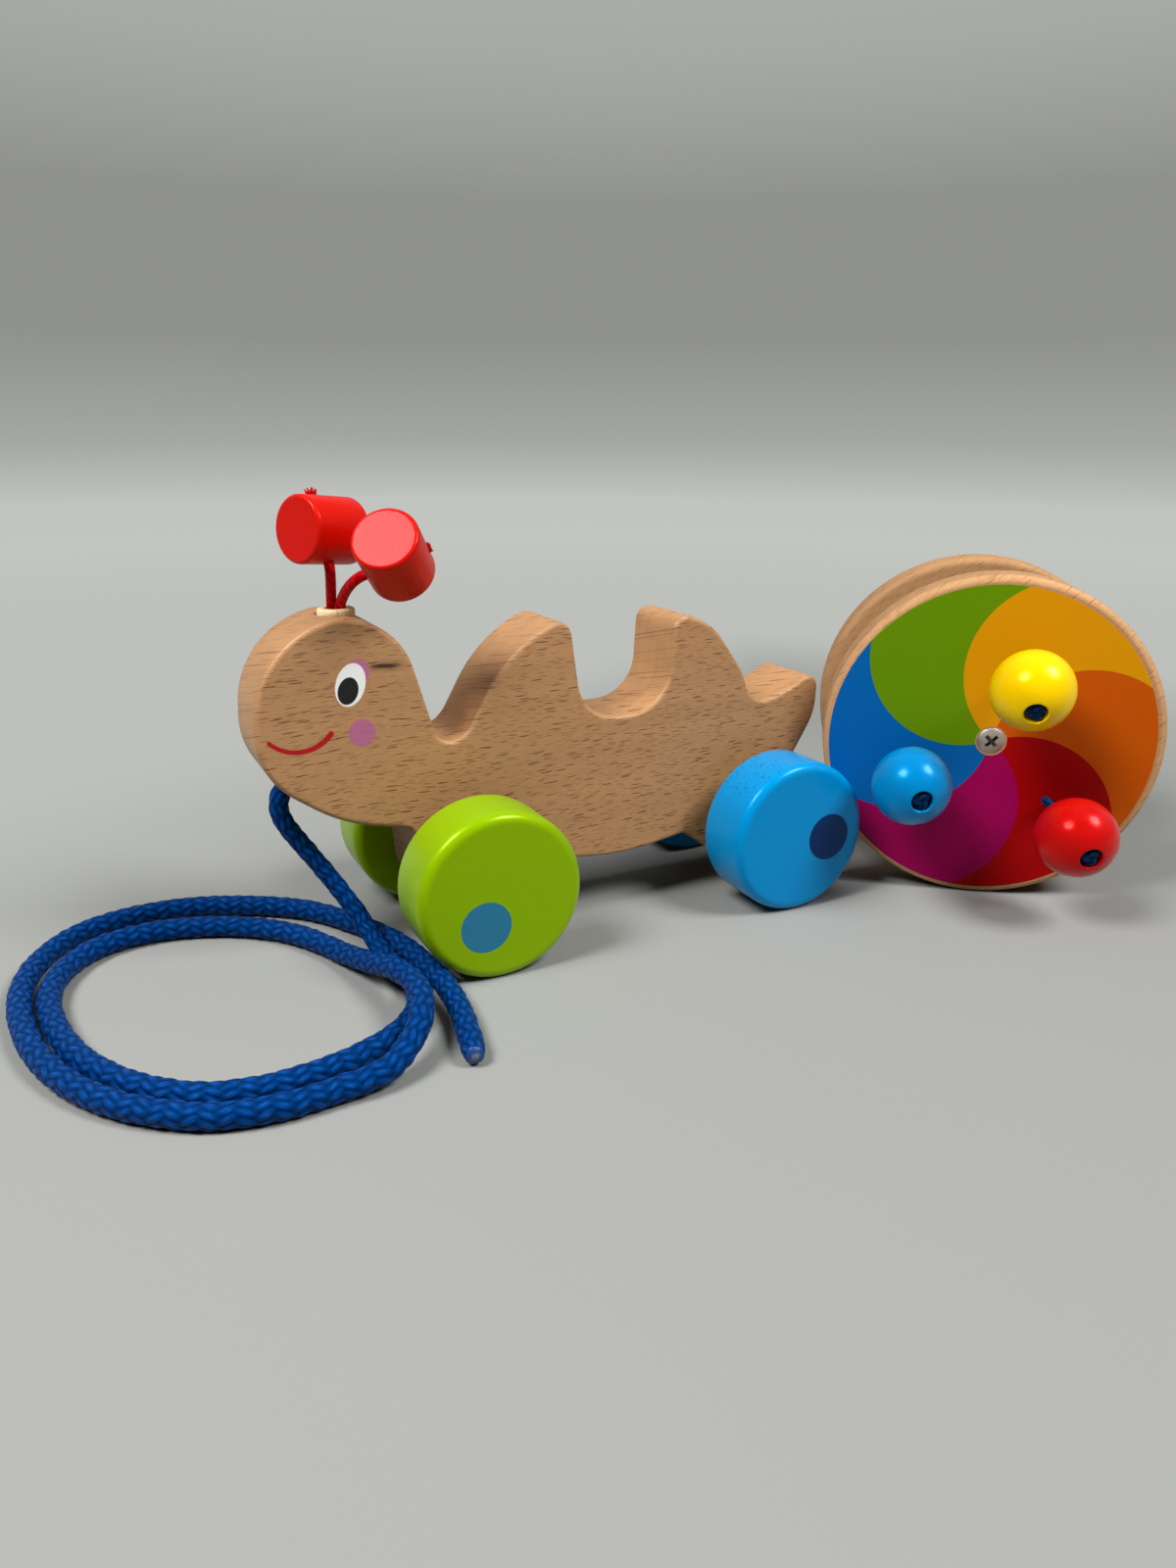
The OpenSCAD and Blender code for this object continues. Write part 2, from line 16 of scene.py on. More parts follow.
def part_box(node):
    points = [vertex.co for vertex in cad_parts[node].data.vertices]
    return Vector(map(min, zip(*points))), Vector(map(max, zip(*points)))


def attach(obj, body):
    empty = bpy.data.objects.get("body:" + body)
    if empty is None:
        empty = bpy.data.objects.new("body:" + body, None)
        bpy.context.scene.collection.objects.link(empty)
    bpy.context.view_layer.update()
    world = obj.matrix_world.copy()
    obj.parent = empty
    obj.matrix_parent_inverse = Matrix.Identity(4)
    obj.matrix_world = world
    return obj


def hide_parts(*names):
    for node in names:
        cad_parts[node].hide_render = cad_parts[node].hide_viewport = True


bl_info = {
    "name": "Wooden pull toy",
    "version": (1, 0, 0),
    "blender": (4, 5, 0),
    "location": "3D View > Sidebar > Pull Toy",
    "description": "Models a wooden pull toy and gives each piece its finish",
    "category": "Object",
}

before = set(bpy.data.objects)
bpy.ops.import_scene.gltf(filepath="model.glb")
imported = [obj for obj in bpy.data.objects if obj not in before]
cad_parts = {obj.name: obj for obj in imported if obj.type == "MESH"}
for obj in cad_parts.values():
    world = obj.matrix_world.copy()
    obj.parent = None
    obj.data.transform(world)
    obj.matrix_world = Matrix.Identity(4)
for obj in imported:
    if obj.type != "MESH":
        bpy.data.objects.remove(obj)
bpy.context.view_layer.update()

MM = 0.001
TOUCH = 2e-5
NEAR, FAR = -1, 1


def across(node, axis=0):
    """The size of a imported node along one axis."""
    low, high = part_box(node)
    return (high[axis] - low[axis]) / MM


WHEEL_D = across("front_wheel_near", 2)
WHEEL_T = across("front_wheel_near", 1)
DISC_D = across("shell_disc_front", 2)
AXLE_D = across("front_axle", 2)
BODY_T = across("body", 1)
AXLE_X, AXLE_Z = 48.5, WHEEL_D / 2
WHEEL_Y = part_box("front_wheel_far")[0][1] / MM


def srgb(*channels):
    """Scene-linear colour from the values that a picture shows."""
    return tuple(c / 12.92 if c <= 0.04045 else ((c + 0.055) / 1.055) ** 2.4 for c in channels)


# Sizes and colours

def length_prop(name, description, default):
    return FloatProperty(name=name, description=description, default=default, min=0.0,
                         unit="LENGTH", precision=5)


def colour_prop(name, description, *channels):
    """A colour, given by the channels that a picture shows."""
    return FloatVectorProperty(name=name, description=description, default=srgb(*channels),
                               size=3, min=0.0, max=1.0, subtype="COLOR")


class PullToySizes(bpy.types.PropertyGroup):
    """Sizes that the frame leaves open."""
    body_edge: length_prop("Body edge", "Rounding of the board's edges", 1.3 * MM)
    wheel_edge: length_prop("Wheel edge", "Rounding of the wheels' rims", 2.7 * MM)
    disc_edge: length_prop("Disc edge", "Rounding of the discs' rims", 2.2 * MM)
    barrel_edge: length_prop("Barrel edge", "Rounding of the barrels' rims", 1.0 * MM)
    hole_lip: length_prop("Hole lip", "Rounding of the beads' holes", 0.5 * MM)
    cord_relief: length_prop("Cord relief", "Height of the braid on the pull cord", 0.75 * MM)
    string_relief: length_prop("String relief", "Height of the twist on the strings", 0.16 * MM)


class PullToyColours(bpy.types.PropertyGroup):
    """Colours of the finishes."""
    wood_light: colour_prop("Light wood", "Beech between its rays", 0.703, 0.523, 0.351)
    wood_ray: colour_prop("Wood ray", "Short dark rays of the beech", 0.378, 0.195, 0.069)
    dowel: colour_prop("Dowel", "Pale wood of the dowels and the plug", 1, 0.885, 0.687)
    green: colour_prop("Green", "Lacquer of the front wheels", 0.508, 0.651, 0.0)
    teal: colour_prop("Teal", "Dot on the front wheels", 0.078, 0.428, 0.594)
    blue: colour_prop("Blue", "Lacquer of the rear wheels", 0.0, 0.527, 0.773)
    navy: colour_prop("Navy", "Dot on the rear wheels", 0.0, 0.104, 0.327)
    red: colour_prop("Red", "Lacquer of the feelers' barrels", 0.75, 0.048, 0.0)
    crimson: colour_prop("Crimson", "Cords of the feelers", 0.672, 0.0, 0.043)
    rope: colour_prop("Rope", "Braid of the pull cord", 0.0, 0.204, 0.442)
    string: colour_prop("String", "Strings of the beads", 0.0, 0.125, 0.255)
    bead_yellow: colour_prop("Yellow bead", "Lacquer of the yellow bead", 0.948, 0.773, 0.0)
    bead_blue: colour_prop("Blue bead", "Lacquer of the blue bead", 0.0, 0.483, 0.722)
    bead_red: colour_prop("Red bead", "Lacquer of the red bead", 0.728, 0.047, 0.038)
    print_green: colour_prop("Print green", "Green part of the pinwheel", 0.371, 0.527, 0.0)
    print_amber: colour_prop("Print amber", "Amber part of the pinwheel", 0.81, 0.548, 0.0)
    print_orange: colour_prop("Print orange", "Orange part of the pinwheel", 0.733, 0.312, 0.0)
    print_red: colour_prop("Print red", "Red part of the pinwheel", 0.603, 0.0, 0.011)
    print_magenta: colour_prop("Print magenta", "Magenta part of the pinwheel", 0.577, 0.0, 0.294)
    print_blue: colour_prop("Print blue", "Blue part of the pinwheel", 0.0, 0.359, 0.636)
    eye_white: colour_prop("Eye white", "White of the painted eye", 0.93, 0.93, 0.92)
    pupil: colour_prop("Pupil", "Black of the painted eye", 0.02, 0.02, 0.02)
    cheek: colour_prop("Cheek", "Painted cheek and lid", 0.69, 0.37, 0.55)
    mouth: colour_prop("Mouth", "Painted smile", 0.67, 0.0, 0.03)
    steel: colour_prop("Steel", "Zinc on the screws", 0.72, 0.68, 0.63)
    floor: colour_prop("Floor", "Floor and sweep", 0.553, 0.557, 0.545)


# Materials

# A strand: how fast its round top falls, the shares of that top and of its way over the
# others in a braid, and how far below 0 the lowest place lies
STRAND_FALL, STRAND_TOP, STRAND_CROSS, STRAND_LOW = 3.76, 0.6, 0.4, 0.15
# The pinwheel: the radii of its print and of its hole, the circle that a sector's edge
# follows, and the angle at which the first one starts, in degrees
PRINT_R, PRINT_HOLE_R, SECTOR_D, SECTOR_START = 47.65, 4.55, 56.0, 100


def math_node(operation, swapped=False):
    """A method of Signal that adds one Math node; swapped puts the signal itself last."""
    def method(self, *others):
        values = (*others, self) if swapped else (self, *others)
        return self.math(operation, *values)
    return method


class Signal:
    """A shader socket that can stand in sums, where each step adds a Math node."""

    def __init__(self, finish, socket):
        self.finish = finish
        self.socket = socket

    def math(self, operation, *values):
        return self.finish.add("Math", {"operation": operation}, dict(enumerate(values)))

    __add__ = __radd__ = math_node("ADD")
    __sub__ = math_node("SUBTRACT")
    __rsub__ = math_node("SUBTRACT", swapped=True)
    __mul__ = __rmul__ = math_node("MULTIPLY")
    __truediv__ = math_node("DIVIDE")
    __rtruediv__ = math_node("DIVIDE", swapped=True)
    __pow__ = math_node("POWER")
    __abs__ = math_node("ABSOLUTE")
    over = math_node("MAXIMUM")
    fraction = math_node("FRACT")
    rounded = math_node("ROUND")

    def wave(self):
        """The cosine of the value, taken in half turns."""
        return self.math("COSINE", self * math.pi)

    def lobe(self):
        """1 where the value is a whole number, and a round fall to 0 between two of them."""
        part = self - self.rounded()
        return self.math("SQRT", (1 - STRAND_FALL * part * part).over(0.0))


class Finish:
    """A material under work: one method adds any node, the others say what for."""

    def __init__(self, name):
        self.material = bpy.data.materials.new(name)
        self.material.use_nodes = True
        self.nodes = self.material.node_tree.nodes
        self.links = self.material.node_tree.links
        self.nodes.clear()

    def add(self, kind, settings=None, inputs=None, output=0):
        """A node of one kind: its settings first, then a value or a link for its sockets."""
        node = self.nodes.new("ShaderNode" + kind)
        for name, value in (settings or {}).items():
            if name == "stops":
                elements = node.color_ramp.elements
                elements.remove(elements[1])
                for i, (place, colour) in enumerate(value):
                    element = elements.new(place) if i else elements[0]
                    element.color = (*colour, 1.0)
            elif name == "ramp":
                node.color_ramp.interpolation = value
            else:
                setattr(node, name, value)
        for name, value in (inputs or {}).items():
            socket = node.inputs[name]
            if isinstance(value, Signal):
                self.links.new(value.socket, socket)
            elif socket.type == "RGBA":
                socket.default_value = (*value, 1.0)
            else:
                socket.default_value = value
        return Signal(self, node.outputs[output])

    def place(self, axes=Matrix()):
        """Object coordinates along a piece's own axes, in millimetres."""
        coords = self.add("TexCoord", output="Object")
        return self.fit(coords, axes.translation, axes.to_euler(), (MM,) * 3)

    def fit(self, vector, at=(0, 0, 0), turn=(0, 0, 0), size=(1, 1, 1)):
        """A vector measured from a point, turned back and divided by a size."""
        return self.add("Mapping", {"vector_type": "TEXTURE"},
                        {"Vector": vector, "Location": at, "Rotation": turn, "Scale": size})

    def part(self, vector, name):
        return self.add("SeparateXYZ", None, {0: vector}, output=name)

    def join(self, x, y, z):
        return self.add("CombineXYZ", None, {0: x, 1: y, 2: z})

    def length(self, vector):
        return self.add("VectorMath", {"operation": "LENGTH"}, {0: vector}, output="Value")

    def noise(self, vector, scale=1.0, detail=2.0, roughness=0.5):
        return self.add("TexNoise", None, {"Vector": vector, "Scale": scale, "Detail": detail,
                                           "Roughness": roughness})

    def cells(self, vector, output="Distance", space="3D"):
        return self.add("TexVoronoi", {"voronoi_dimensions": space},
                        {"Vector": vector, "Scale": 1.0}, output=output)

    def ease(self, value, low, high):
        """0 below low, 1 above high, and a smooth rise between them."""
        return self.add("MapRange", {"interpolation_type": "SMOOTHSTEP"},
                        {"Value": value, "From Min": low, "From Max": high})

    def mix(self, factor, a, b, blend="MIX"):
        return self.add("Mix", {"data_type": "RGBA", "blend_type": blend},
                        {0: factor, 6: a, 7: b}, output=2)

    def shade(self, colour, amount):
        """A colour made lighter or darker by a varying amount round 1."""
        return self.mix(1.0, colour, self.join(amount, amount, amount), "MULTIPLY")

    def spot(self, vector, at, size, lean=0.0, soft=0.03):
        """A mask that is 1 inside an ellipse on a face square to Y."""
        inside = self.fit(vector, (at[0], 0, at[1]), (0, math.radians(lean), 0),
                          (size[0], 1e6, size[1]))
        return self.ease(1 - self.length(inside), -soft, soft)

    def bump(self, height, strength=0.6):
        """A normal from a height in millimetres."""
        return self.add("Bump", None, {"Strength": strength, "Distance": MM, "Height": height})

    def done(self, shader):
        output = self.nodes.new("ShaderNodeOutputMaterial")
        self.links.new(shader.socket, output.inputs["Surface"])
        return self.material

    def surface(self, **sockets):
        """Ends the material in one Principled shader; _ in a name stands for a space."""
        inputs = {name.replace("_", " "): value for name, value in sockets.items()}
        return self.done(self.add("BsdfPrincipled", None, inputs))


def flecks(finish, x, z, cell, size, shift=0.0):
    """Short dark lines along X, about one to two cells, each cut right through the wood; size
    is their half length as a share of the cell."""
    place = finish.join(x / cell[0] + shift, z / cell[1], 0.0)
    chance = finish.part(finish.cells(place, "Color", "2D"), "Z")
    line = finish.ease(size * (0.5 + 0.6 * chance) - finish.cells(place, space="2D"), 0.0, 0.05)
    return line * finish.ease(chance, 0.1, 0.9)


def wood_grain(finish, colours, vector, fleck=1.0, light=None, edge=0.0):
    """Beech along X with its rays near Y: its colour and its height in millimetres. edge is
    1 where the surface faces away from Y, and shows the year rings too."""
    light = light or colours.wood_light
    x, y, z = (finish.part(vector, axis) for axis in "XYZ")
    drift = finish.noise(finish.fit(vector, size=(60, 40, 26)), detail=1.0)
    z = z + 5.0 * drift - 0.03 * x
    bands = finish.noise(finish.join(x / 90, y / 14, z / 5), detail=3.0, roughness=0.6)
    colour = finish.mix(finish.ease(bands, 0.30, 0.70), light, finish.shade(light, 0.90))
    rings = finish.noise(finish.join(x / 60, (y + 2.4 * drift) / 1.0, z / 46), detail=3.0,
                         roughness=0.7)
    colour = finish.shade(colour, 1 - 0.13 * (edge * finish.ease(rings, 0.54, 0.66)))
    slant = z + 0.27 * y
    long_rays = flecks(finish, x, slant, (9.5, 0.78), 0.20)
    fine_rays = flecks(finish, x, slant, (5.6, 0.42), 0.23, 17.0)
    rays = fleck * long_rays.over(0.7 * fine_rays) * (1 - 0.3 * edge)
    colour = finish.mix(0.9 * rays, colour, colours.wood_ray)
    fibre = finish.noise(finish.join(x / 1.6, y / 0.13, z / 0.13), detail=2.0)
    colour = finish.shade(colour, 0.82 + 0.36 * fibre)
    return colour, 0.02 * fibre - 0.04 * rays - 0.012 * (edge * rings)


def wood(name, colours, axes, fleck=1.0, light=None):
    """Plain sanded beech whose grain runs along the X of its axes."""
    finish = Finish(name)
    colour, height = wood_grain(finish, colours, finish.place(axes), fleck, light)
    return finish.surface(Base_Color=colour, Roughness=0.48 - 1.6 * height,
                          Normal=finish.bump(height))


def body_wood(colours):
    """The board's beech with the painted face on both of its sides."""
    finish = Finish("beech_with_face")
    vector = finish.place()
    facing = abs(finish.part(finish.add("TexCoord", output="Normal"), "Y"))
    colour, height = wood_grain(finish, colours, vector, edge=1 - finish.ease(facing, 0.3, 0.8))
    y = finish.part(vector, "Y")
    near = finish.ease(0 - y, 8.0, 9.0)
    for size, soft, cover in (((4.9, 1.3), 0.8, 0.35), ((3.3, 0.55), 0.6, 0.9)):
        knot = finish.spot(vector, (-68.8, 81.7), size, 3, soft=soft)
        colour = finish.mix(cover * (knot * near), colour, srgb(0.17, 0.07, 0.03))
    side = finish.ease(abs(y), 11.5, 11.6)
    grain = finish.noise(vector, 9.0, 3.0, 0.7)
    patchy = finish.ease(grain, 0.30, 0.42)
    shapes = (
        (finish.spot(vector, (-76.35, 80.75), (3.3, 3.3)), colours.cheek, 0.85),
        (finish.spot(vector, (-78.3, 77.6), (3.85, 5.7), 16), colours.eye_white, 0.97),
        (finish.spot(vector, (-79.0, 76.1), (2.65, 3.6), 16), colours.pupil, 1.0),
        (finish.spot(vector, (-76.0, 64.8), (3.6, 3.6)), colours.cheek, 0.85),
        (smile(finish, vector), colours.mouth, 1.0),
    )
    paint = None
    for mask, tint, cover in shapes:
        mask = mask * side
        colour = finish.mix(cover * mask * (0.86 + 0.14 * patchy), colour, tint)
        paint = mask if paint is None else paint.over(mask)
    height = height * (1 - 0.6 * paint) + 0.03 * paint + 0.01 * paint * grain
    return finish.surface(Base_Color=colour, Roughness=0.46 + 0.02 * paint - 1.2 * height,
                          Normal=finish.bump(height), Specular_IOR_Level=0.35)


def smile(finish, vector):
    """The mask of a round-ended arc that widens to the right."""
    centre, radius, left, right = (-92.2, 72.1), 10.5, -46.0, 50.5
    face = finish.fit(vector, (centre[0], 0, centre[1]), size=(1, 1e6, 1))
    x, z = finish.part(face, "X"), finish.part(face, "Z")
    angle = x.math("ARCTAN2", x, 0 - z) * (180 / math.pi)
    half = 0.66 + 0.0024 * angle
    stroke = finish.ease(half - abs(finish.length(face) - radius), -0.06, 0.06)
    stroke = stroke * finish.ease(angle, left, left + 0.2)
    stroke = stroke * (1 - finish.ease(angle, right, right + 0.2))
    for end, width in ((left, 0.55), (right, 0.78)):
        a = math.radians(end)
        tip = (centre[0] + radius * math.sin(a), centre[1] - radius * math.cos(a))
        stroke = stroke.over(finish.spot(vector, tip, (width, width), soft=0.08))
    return stroke


def tinted(colour):
    """The tint of the plain shine under a lacquer's gloss, as strong as its colour."""
    return tuple(channel / max(colour) for channel in colour)


def lacquer(name, colour, axes, gloss=0.30, coat=0.11, weave=0.012, dots=(), pits=None):
    """Thick lacquer on turned wood: a faint grain under it, painted dots and small pits on
    it. weave is the grain's height in millimetres. Each dot has a centre, a radius, a colour
    and the depth where it starts; the pits have a number, a centre and a reach."""
    finish = Finish(name)
    tint = tinted(colour)
    vector = finish.place(axes)
    peel = finish.noise(vector, 0.55, 2.0)
    grain = finish.noise(finish.fit(vector, size=(7.0, 0.45, 0.45)), 1.0, 3.0, 0.6)
    dust = finish.noise(vector, 5.0, 2.0)
    colour = finish.shade(colour, 0.95 + 0.06 * grain + 0.04 * dust)
    height = 0.055 * peel + weave * (grain + dust)
    rough = gloss + 0.10 * (peel - 0.5) + 0.05 * dust
    for centre, radius, paint, out in dots:
        face = finish.ease(abs(finish.part(vector, "Y")), out, out + 0.1)
        dot = finish.spot(vector, centre, (radius, radius), soft=0.012) * face
        colour = finish.mix(dot, colour, finish.shade(paint, 0.94 + 0.12 * dust))
        height = height + 0.02 * dot
    if pits:
        number, centre, reach = pits
        away = finish.length(finish.fit(vector, centre, size=(reach,) * 3))
        holes = finish.ease(number - finish.cells(finish.fit(vector, size=(1.4,) * 3)), 0.0, 0.05)
        holes = holes * finish.ease(1 - away, 0.0, 0.3)
        colour = finish.mix(0.7 * holes, colour, finish.shade(colour, 0.2))
        height = height - 0.05 * holes
    return finish.surface(Base_Color=colour, Roughness=rough, Normal=finish.bump(height),
                          Specular_Tint=tint, Specular_IOR_Level=0.6, Coat_Weight=coat,
                          Coat_Roughness=0.13)


def pinwheel(name, colours, axes, side):
    """Beech with six curved sectors printed on one face of a disc; side says which."""
    finish = Finish(name)
    vector = finish.place(axes)
    grain = finish.fit(vector, turn=(0, math.radians(-40), 0))
    pale = [min(1.0, channel * gain)
            for channel, gain in zip(colours.wood_light, (1.0, 1.05, 1.12))]
    colour, height = wood_grain(finish, colours, grain, 0.55, pale)
    face = finish.fit(vector, size=(1, 1e6, 1))
    x, z = finish.part(face, "X"), finish.part(face, "Z")
    reach = finish.length(face)
    angle = x.math("ARCTAN2", z, x * (0 - side)) + x.math("ARCSINE", reach / SECTOR_D)
    share = ((angle + math.radians(SECTOR_START)) / math.tau).fraction()
    tints = ("magenta", "red", "orange", "amber", "green", "blue")
    stops = [(i / 6, getattr(colours, "print_" + tint)) for i, tint in enumerate(tints)]
    tint = finish.add("ValToRGB", {"stops": stops, "ramp": "CONSTANT"}, {0: share})
    dust = finish.noise(vector, 4.0, 3.0, 0.65)
    tint = finish.shade(tint, 0.91 + 0.18 * dust)
    wobble = 0.12 * finish.noise(vector, 1.3, 2.0)
    out = side * finish.part(vector, "Y")
    # Wear and painted highlight: the bare rim ring outside the print is made lighter in patches,
    # partly as worn wood and partly as the light that its rounding catches
    worn_and_highlit_rim = finish.ease(reach, 47.6, 48.4) * finish.ease(out, -3.0, -1.0)
    colour = finish.shade(colour, 1 + 0.35 * (worn_and_highlit_rim * finish.ease(dust, 0.3, 0.6)))
    printed = finish.length(finish.fit(face, (0.6 * side, 0, -0.35)))
    ink = finish.ease(reach, PRINT_HOLE_R, PRINT_HOLE_R + 0.1) * finish.ease(out, -0.35, -0.25)
    ink = ink * (1 - finish.ease(printed + wobble, PRINT_R, PRINT_R + 0.15))
    colour = finish.mix(ink, colour, tint)
    height = height * (1 - 0.55 * ink) + 0.02 * ink + 0.03 * (ink * dust)
    return finish.surface(Base_Color=colour, Roughness=0.48 - 0.06 * ink + 0.08 * dust,
                          Normal=finish.bump(height, 0.5), Specular_IOR_Level=0.08)


def zinc(colours, axes, side):
    """Zinc-plated steel, brushed round, with painted shade that darkens its recess; side says
    where it faces.
    """
    finish = Finish("zinc")
    vector = finish.place(axes)
    stain = finish.noise(vector, 0.9, 3.0, 0.6)
    scratch = finish.noise(finish.fit(vector, size=(0.3, 3.0, 4.0)), 1.0, 3.0)
    out = finish.length(finish.fit(vector, size=(SCREW_HEAD_D / 2, 1e6, SCREW_HEAD_D / 2)))
    sunk = SCREW_DOME * (1 - out * out) - side * finish.part(vector, "Y")
    # Painted shade: the cross recess is darkened, besides its cut shape
    recess = finish.ease(sunk, 0.15, 0.9)
    colour = finish.shade(colours.steel, (0.72 + 0.42 * stain) * (1 - 0.75 * recess))
    return finish.surface(Base_Color=colour, Metallic=0.9, Roughness=0.34 + 0.22 * scratch,
                          Normal=finish.bump(0.012 * scratch + 0.02 * stain))


def yarn(name, colour, strands, pitch, plaited=False, relief=0.1, sheen=0.0, gap_shade=0.55):
    """Cord from fine fibres that follow its strands, with painted shade in the gaps between them
    and painted glints on their crowns; its UV map holds the way along the cord in metres and the
    way round it from 0 to 1."""
    finish = Finish(name)
    uv = finish.add("UVMap", {"uv_map": "cord"})
    along = finish.part(uv, "X") / (pitch * MM)
    around = finish.part(uv, "Y") * strands
    first, second = along + around, along - around
    top = first.lobe()
    fibre = finish.noise(finish.join(first * 7.0, second * 0.8, 0.0), 1.0, 3.0, 0.7)
    if plaited:
        over = (0.5 * (second + first.rounded()) - 0.25).wave()
        under = (0.5 * (first + second.rounded()) - 0.25).wave()
        over = STRAND_TOP * top + STRAND_CROSS * over
        under = STRAND_TOP * second.lobe() - STRAND_CROSS * under
        crossed = finish.noise(finish.join(second * 7.0, first * 0.8, 0.0), 1.0, 3.0, 0.7)
        family = under.math("GREATER_THAN", under, over)
        fibre = fibre * (1 - family) + crossed * family
        top = ((over.over(under) + STRAND_LOW) / (1 + STRAND_LOW)).over(0.0) ** 1.4
    patch = finish.noise(finish.join(along * 0.31, around * 0.8, 3.0), 1.0, 2.0)
    tint = tinted(colour)
    # Painted shade: the cord is darker in the gaps between its strands and lighter on their
    # crowns; fibre and patch add the yarn's own uneven tone
    light = (1 - gap_shade) + gap_shade * top + 0.35 * (fibre - 0.5) + 0.30 * (patch - 0.5)
    # Painted glints: bright spots on the strands' crowns, mixed in below
    painted_glint = finish.ease(top, 0.72, 1.0) * finish.ease(fibre, 0.42, 0.68)
    glint_colour = tuple(min(1.0, 2.6 * channel + 0.012) for channel in colour)
    colour = finish.mix(0.6 * painted_glint, finish.shade(colour, light), glint_colour)
    return finish.surface(Base_Color=colour, Roughness=0.62 - 0.16 * top,
                          Specular_Tint=tint, Specular_IOR_Level=0.25, Sheen_Weight=sheen,
                          Sheen_Roughness=0.4, Sheen_Tint=tint,
                          Normal=finish.bump(relief * top + 0.05 * fibre, 0.8))


def melted(colour, axes):
    """The fused end of a synthetic cord: a pale core in a dark skin."""
    finish = Finish("melted_cord")
    vector = finish.place(axes)
    grit = finish.noise(vector, 2.2, 3.0, 0.7)
    core = finish.ease(1.35 - finish.length(vector) + finish.noise(vector, 0.8, 2.0), 0.3, 1.0)
    pale = finish.shade(srgb(0.46, 0.49, 0.50), 0.4 + grit)
    colour = finish.mix(core, finish.shade(colour, 0.5 + grit), pale)
    return finish.surface(Base_Color=colour, Roughness=0.25 + 0.3 * grit,
                          Normal=finish.bump(0.15 * grit))


def paper(colour):
    """The sweep: plain where the toy stands, and further off, where it is seen, a fixed glow with
    painted light and shade: pale on the far floor, darker in a band where the floor curves up into
    the wall, lighter again higher up.
    """
    finish = Finish("sweep_paper")
    vector = finish.add("TexCoord", output="Object")
    flat = finish.join(finish.part(vector, "X"), finish.part(vector, "Y"), 0.0)
    reach = finish.length(flat)
    way = (reach + finish.part(vector, "Z") - 0.6) / 3.0
    # Painted light and shade of the backdrop, by the way out across the floor and up the wall
    painted_backdrop_light = ((0.0, 0.752), (0.19, 0.772), (0.37, 0.766), (0.49, 0.65), (0.635, 0.568),
             (0.79, 0.57), (0.90, 0.66), (1.0, 0.70))
    stops = [(place, srgb(0.99 * grey, grey, 0.98 * grey)) for place, grey in painted_backdrop_light]
    grey = finish.add("ValToRGB", {"stops": stops}, {0: way})
    seen = [finish.add("LightPath", output="Is %s Ray" % ray)
            for ray in ("Camera", "Glossy", "Transmission")]
    behind = finish.part(vector, "Y") - 0.4 * finish.part(vector, "X")
    far = finish.ease(reach, 0.24, 0.50).over(finish.ease(behind, 0.07, 0.26))
    far = far * seen[0].over(seen[1]).over(seen[2])
    plain = finish.add("BsdfDiffuse", None, {"Color": colour})
    glowing_backdrop = finish.add("Emission", None, {"Color": grey})
    return finish.done(finish.add("MixShader", None, {0: far, 1: plain, 2: glowing_backdrop}))


# Modelling

def rotated(degrees, axis):
    """A turn about an axis, as a matrix."""
    return Matrix.Rotation(math.radians(degrees), 4, axis)


def shift(x, y, z):
    """A move by millimetres, as a matrix."""
    return Matrix.Translation(Vector((x, y, z)) * MM)


TURN_TO_Y = rotated(-90, "X")
TURN_TO_X = rotated(90, "Y")


def tidy(bm):
    """Joins doubled points and turns the faces outwards."""
    bmesh.ops.remove_doubles(bm, verts=bm.verts, dist=1e-6)
    bmesh.ops.recalc_face_normals(bm, faces=bm.faces)


def arc(bm, vert, centre, axis, angle, steps):
    """Carries a point round a centre, leaves its path as edges and returns the last point."""
    made = bmesh.ops.spin(bm, geom=[vert], cent=centre, axis=axis, angle=angle, steps=steps)
    return next(part for part in made["geom_last"] if isinstance(part, bmesh.types.BMVert))


def link(bm, verts):
    for a, b in zip(verts, verts[1:]):
        bm.edges.new((a, b))


def spin_full(bm, steps):
    """Spins what is drawn, half a profile in the XZ plane, all the way round Z."""
    bmesh.ops.spin(bm, geom=bm.verts[:] + bm.edges[:], cent=(0, 0, 0), axis=(0, 0, 1),
                   angle=math.tau, steps=steps, use_merge=True)
    tidy(bm)
    return bm


def lathe(profile, steps, closed=False):
    """A turned solid from a chain of (radius, height) points in millimetres."""
    bm = bmesh.new()
    chain = [bm.verts.new((radius * MM, 0, height * MM)) for radius, height in profile]
    link(bm, chain + chain[:1] if closed else chain)
    return spin_full(bm, steps)


def ring(bm, radius, height):
    """The edges of a turned solid that lie on one circle, given in millimetres."""
    def on(vert):
        return (abs(vert.co.xy.length - radius * MM) < TOUCH
                and abs(vert.co.z - height * MM) < TOUCH)
    return [edge for edge in bm.edges if on(edge.verts[0]) and on(edge.verts[1])]


def soften(bm, edges, width, segments):
    """Rounds edges by a width in metres."""
    bmesh.ops.bevel(bm, geom=edges, offset=width, offset_type="OFFSET", segments=segments,
                    profile=0.5, affect="EDGES", material=-1, clamp_overlap=False)


def turned(profile, radius, ends, edge, segments, steps, closed=False):
    """A turned solid with its rims rounded, which lie at two heights on one radius."""
    bm = lathe(profile, steps, closed)
    for height in ends:
        soften(bm, ring(bm, radius, height), edge, segments)
    return bm


def bar(radius, at, way, length, steps=48):
    """A cutting rod from a point along a direction, in millimetres."""
    bm = bmesh.new()
    turn = Vector(way).to_track_quat("Z", "Y").to_matrix().to_4x4()
    bmesh.ops.create_cone(bm, cap_ends=True, segments=steps, radius1=radius * MM,
                          radius2=radius * MM, depth=length * MM,
                          matrix=shift(*at) @ turn @ shift(0, 0, length / 2))
    return bm


def moved(bm, matrix):
    bmesh.ops.transform(bm, matrix=matrix, verts=bm.verts)
    return bm


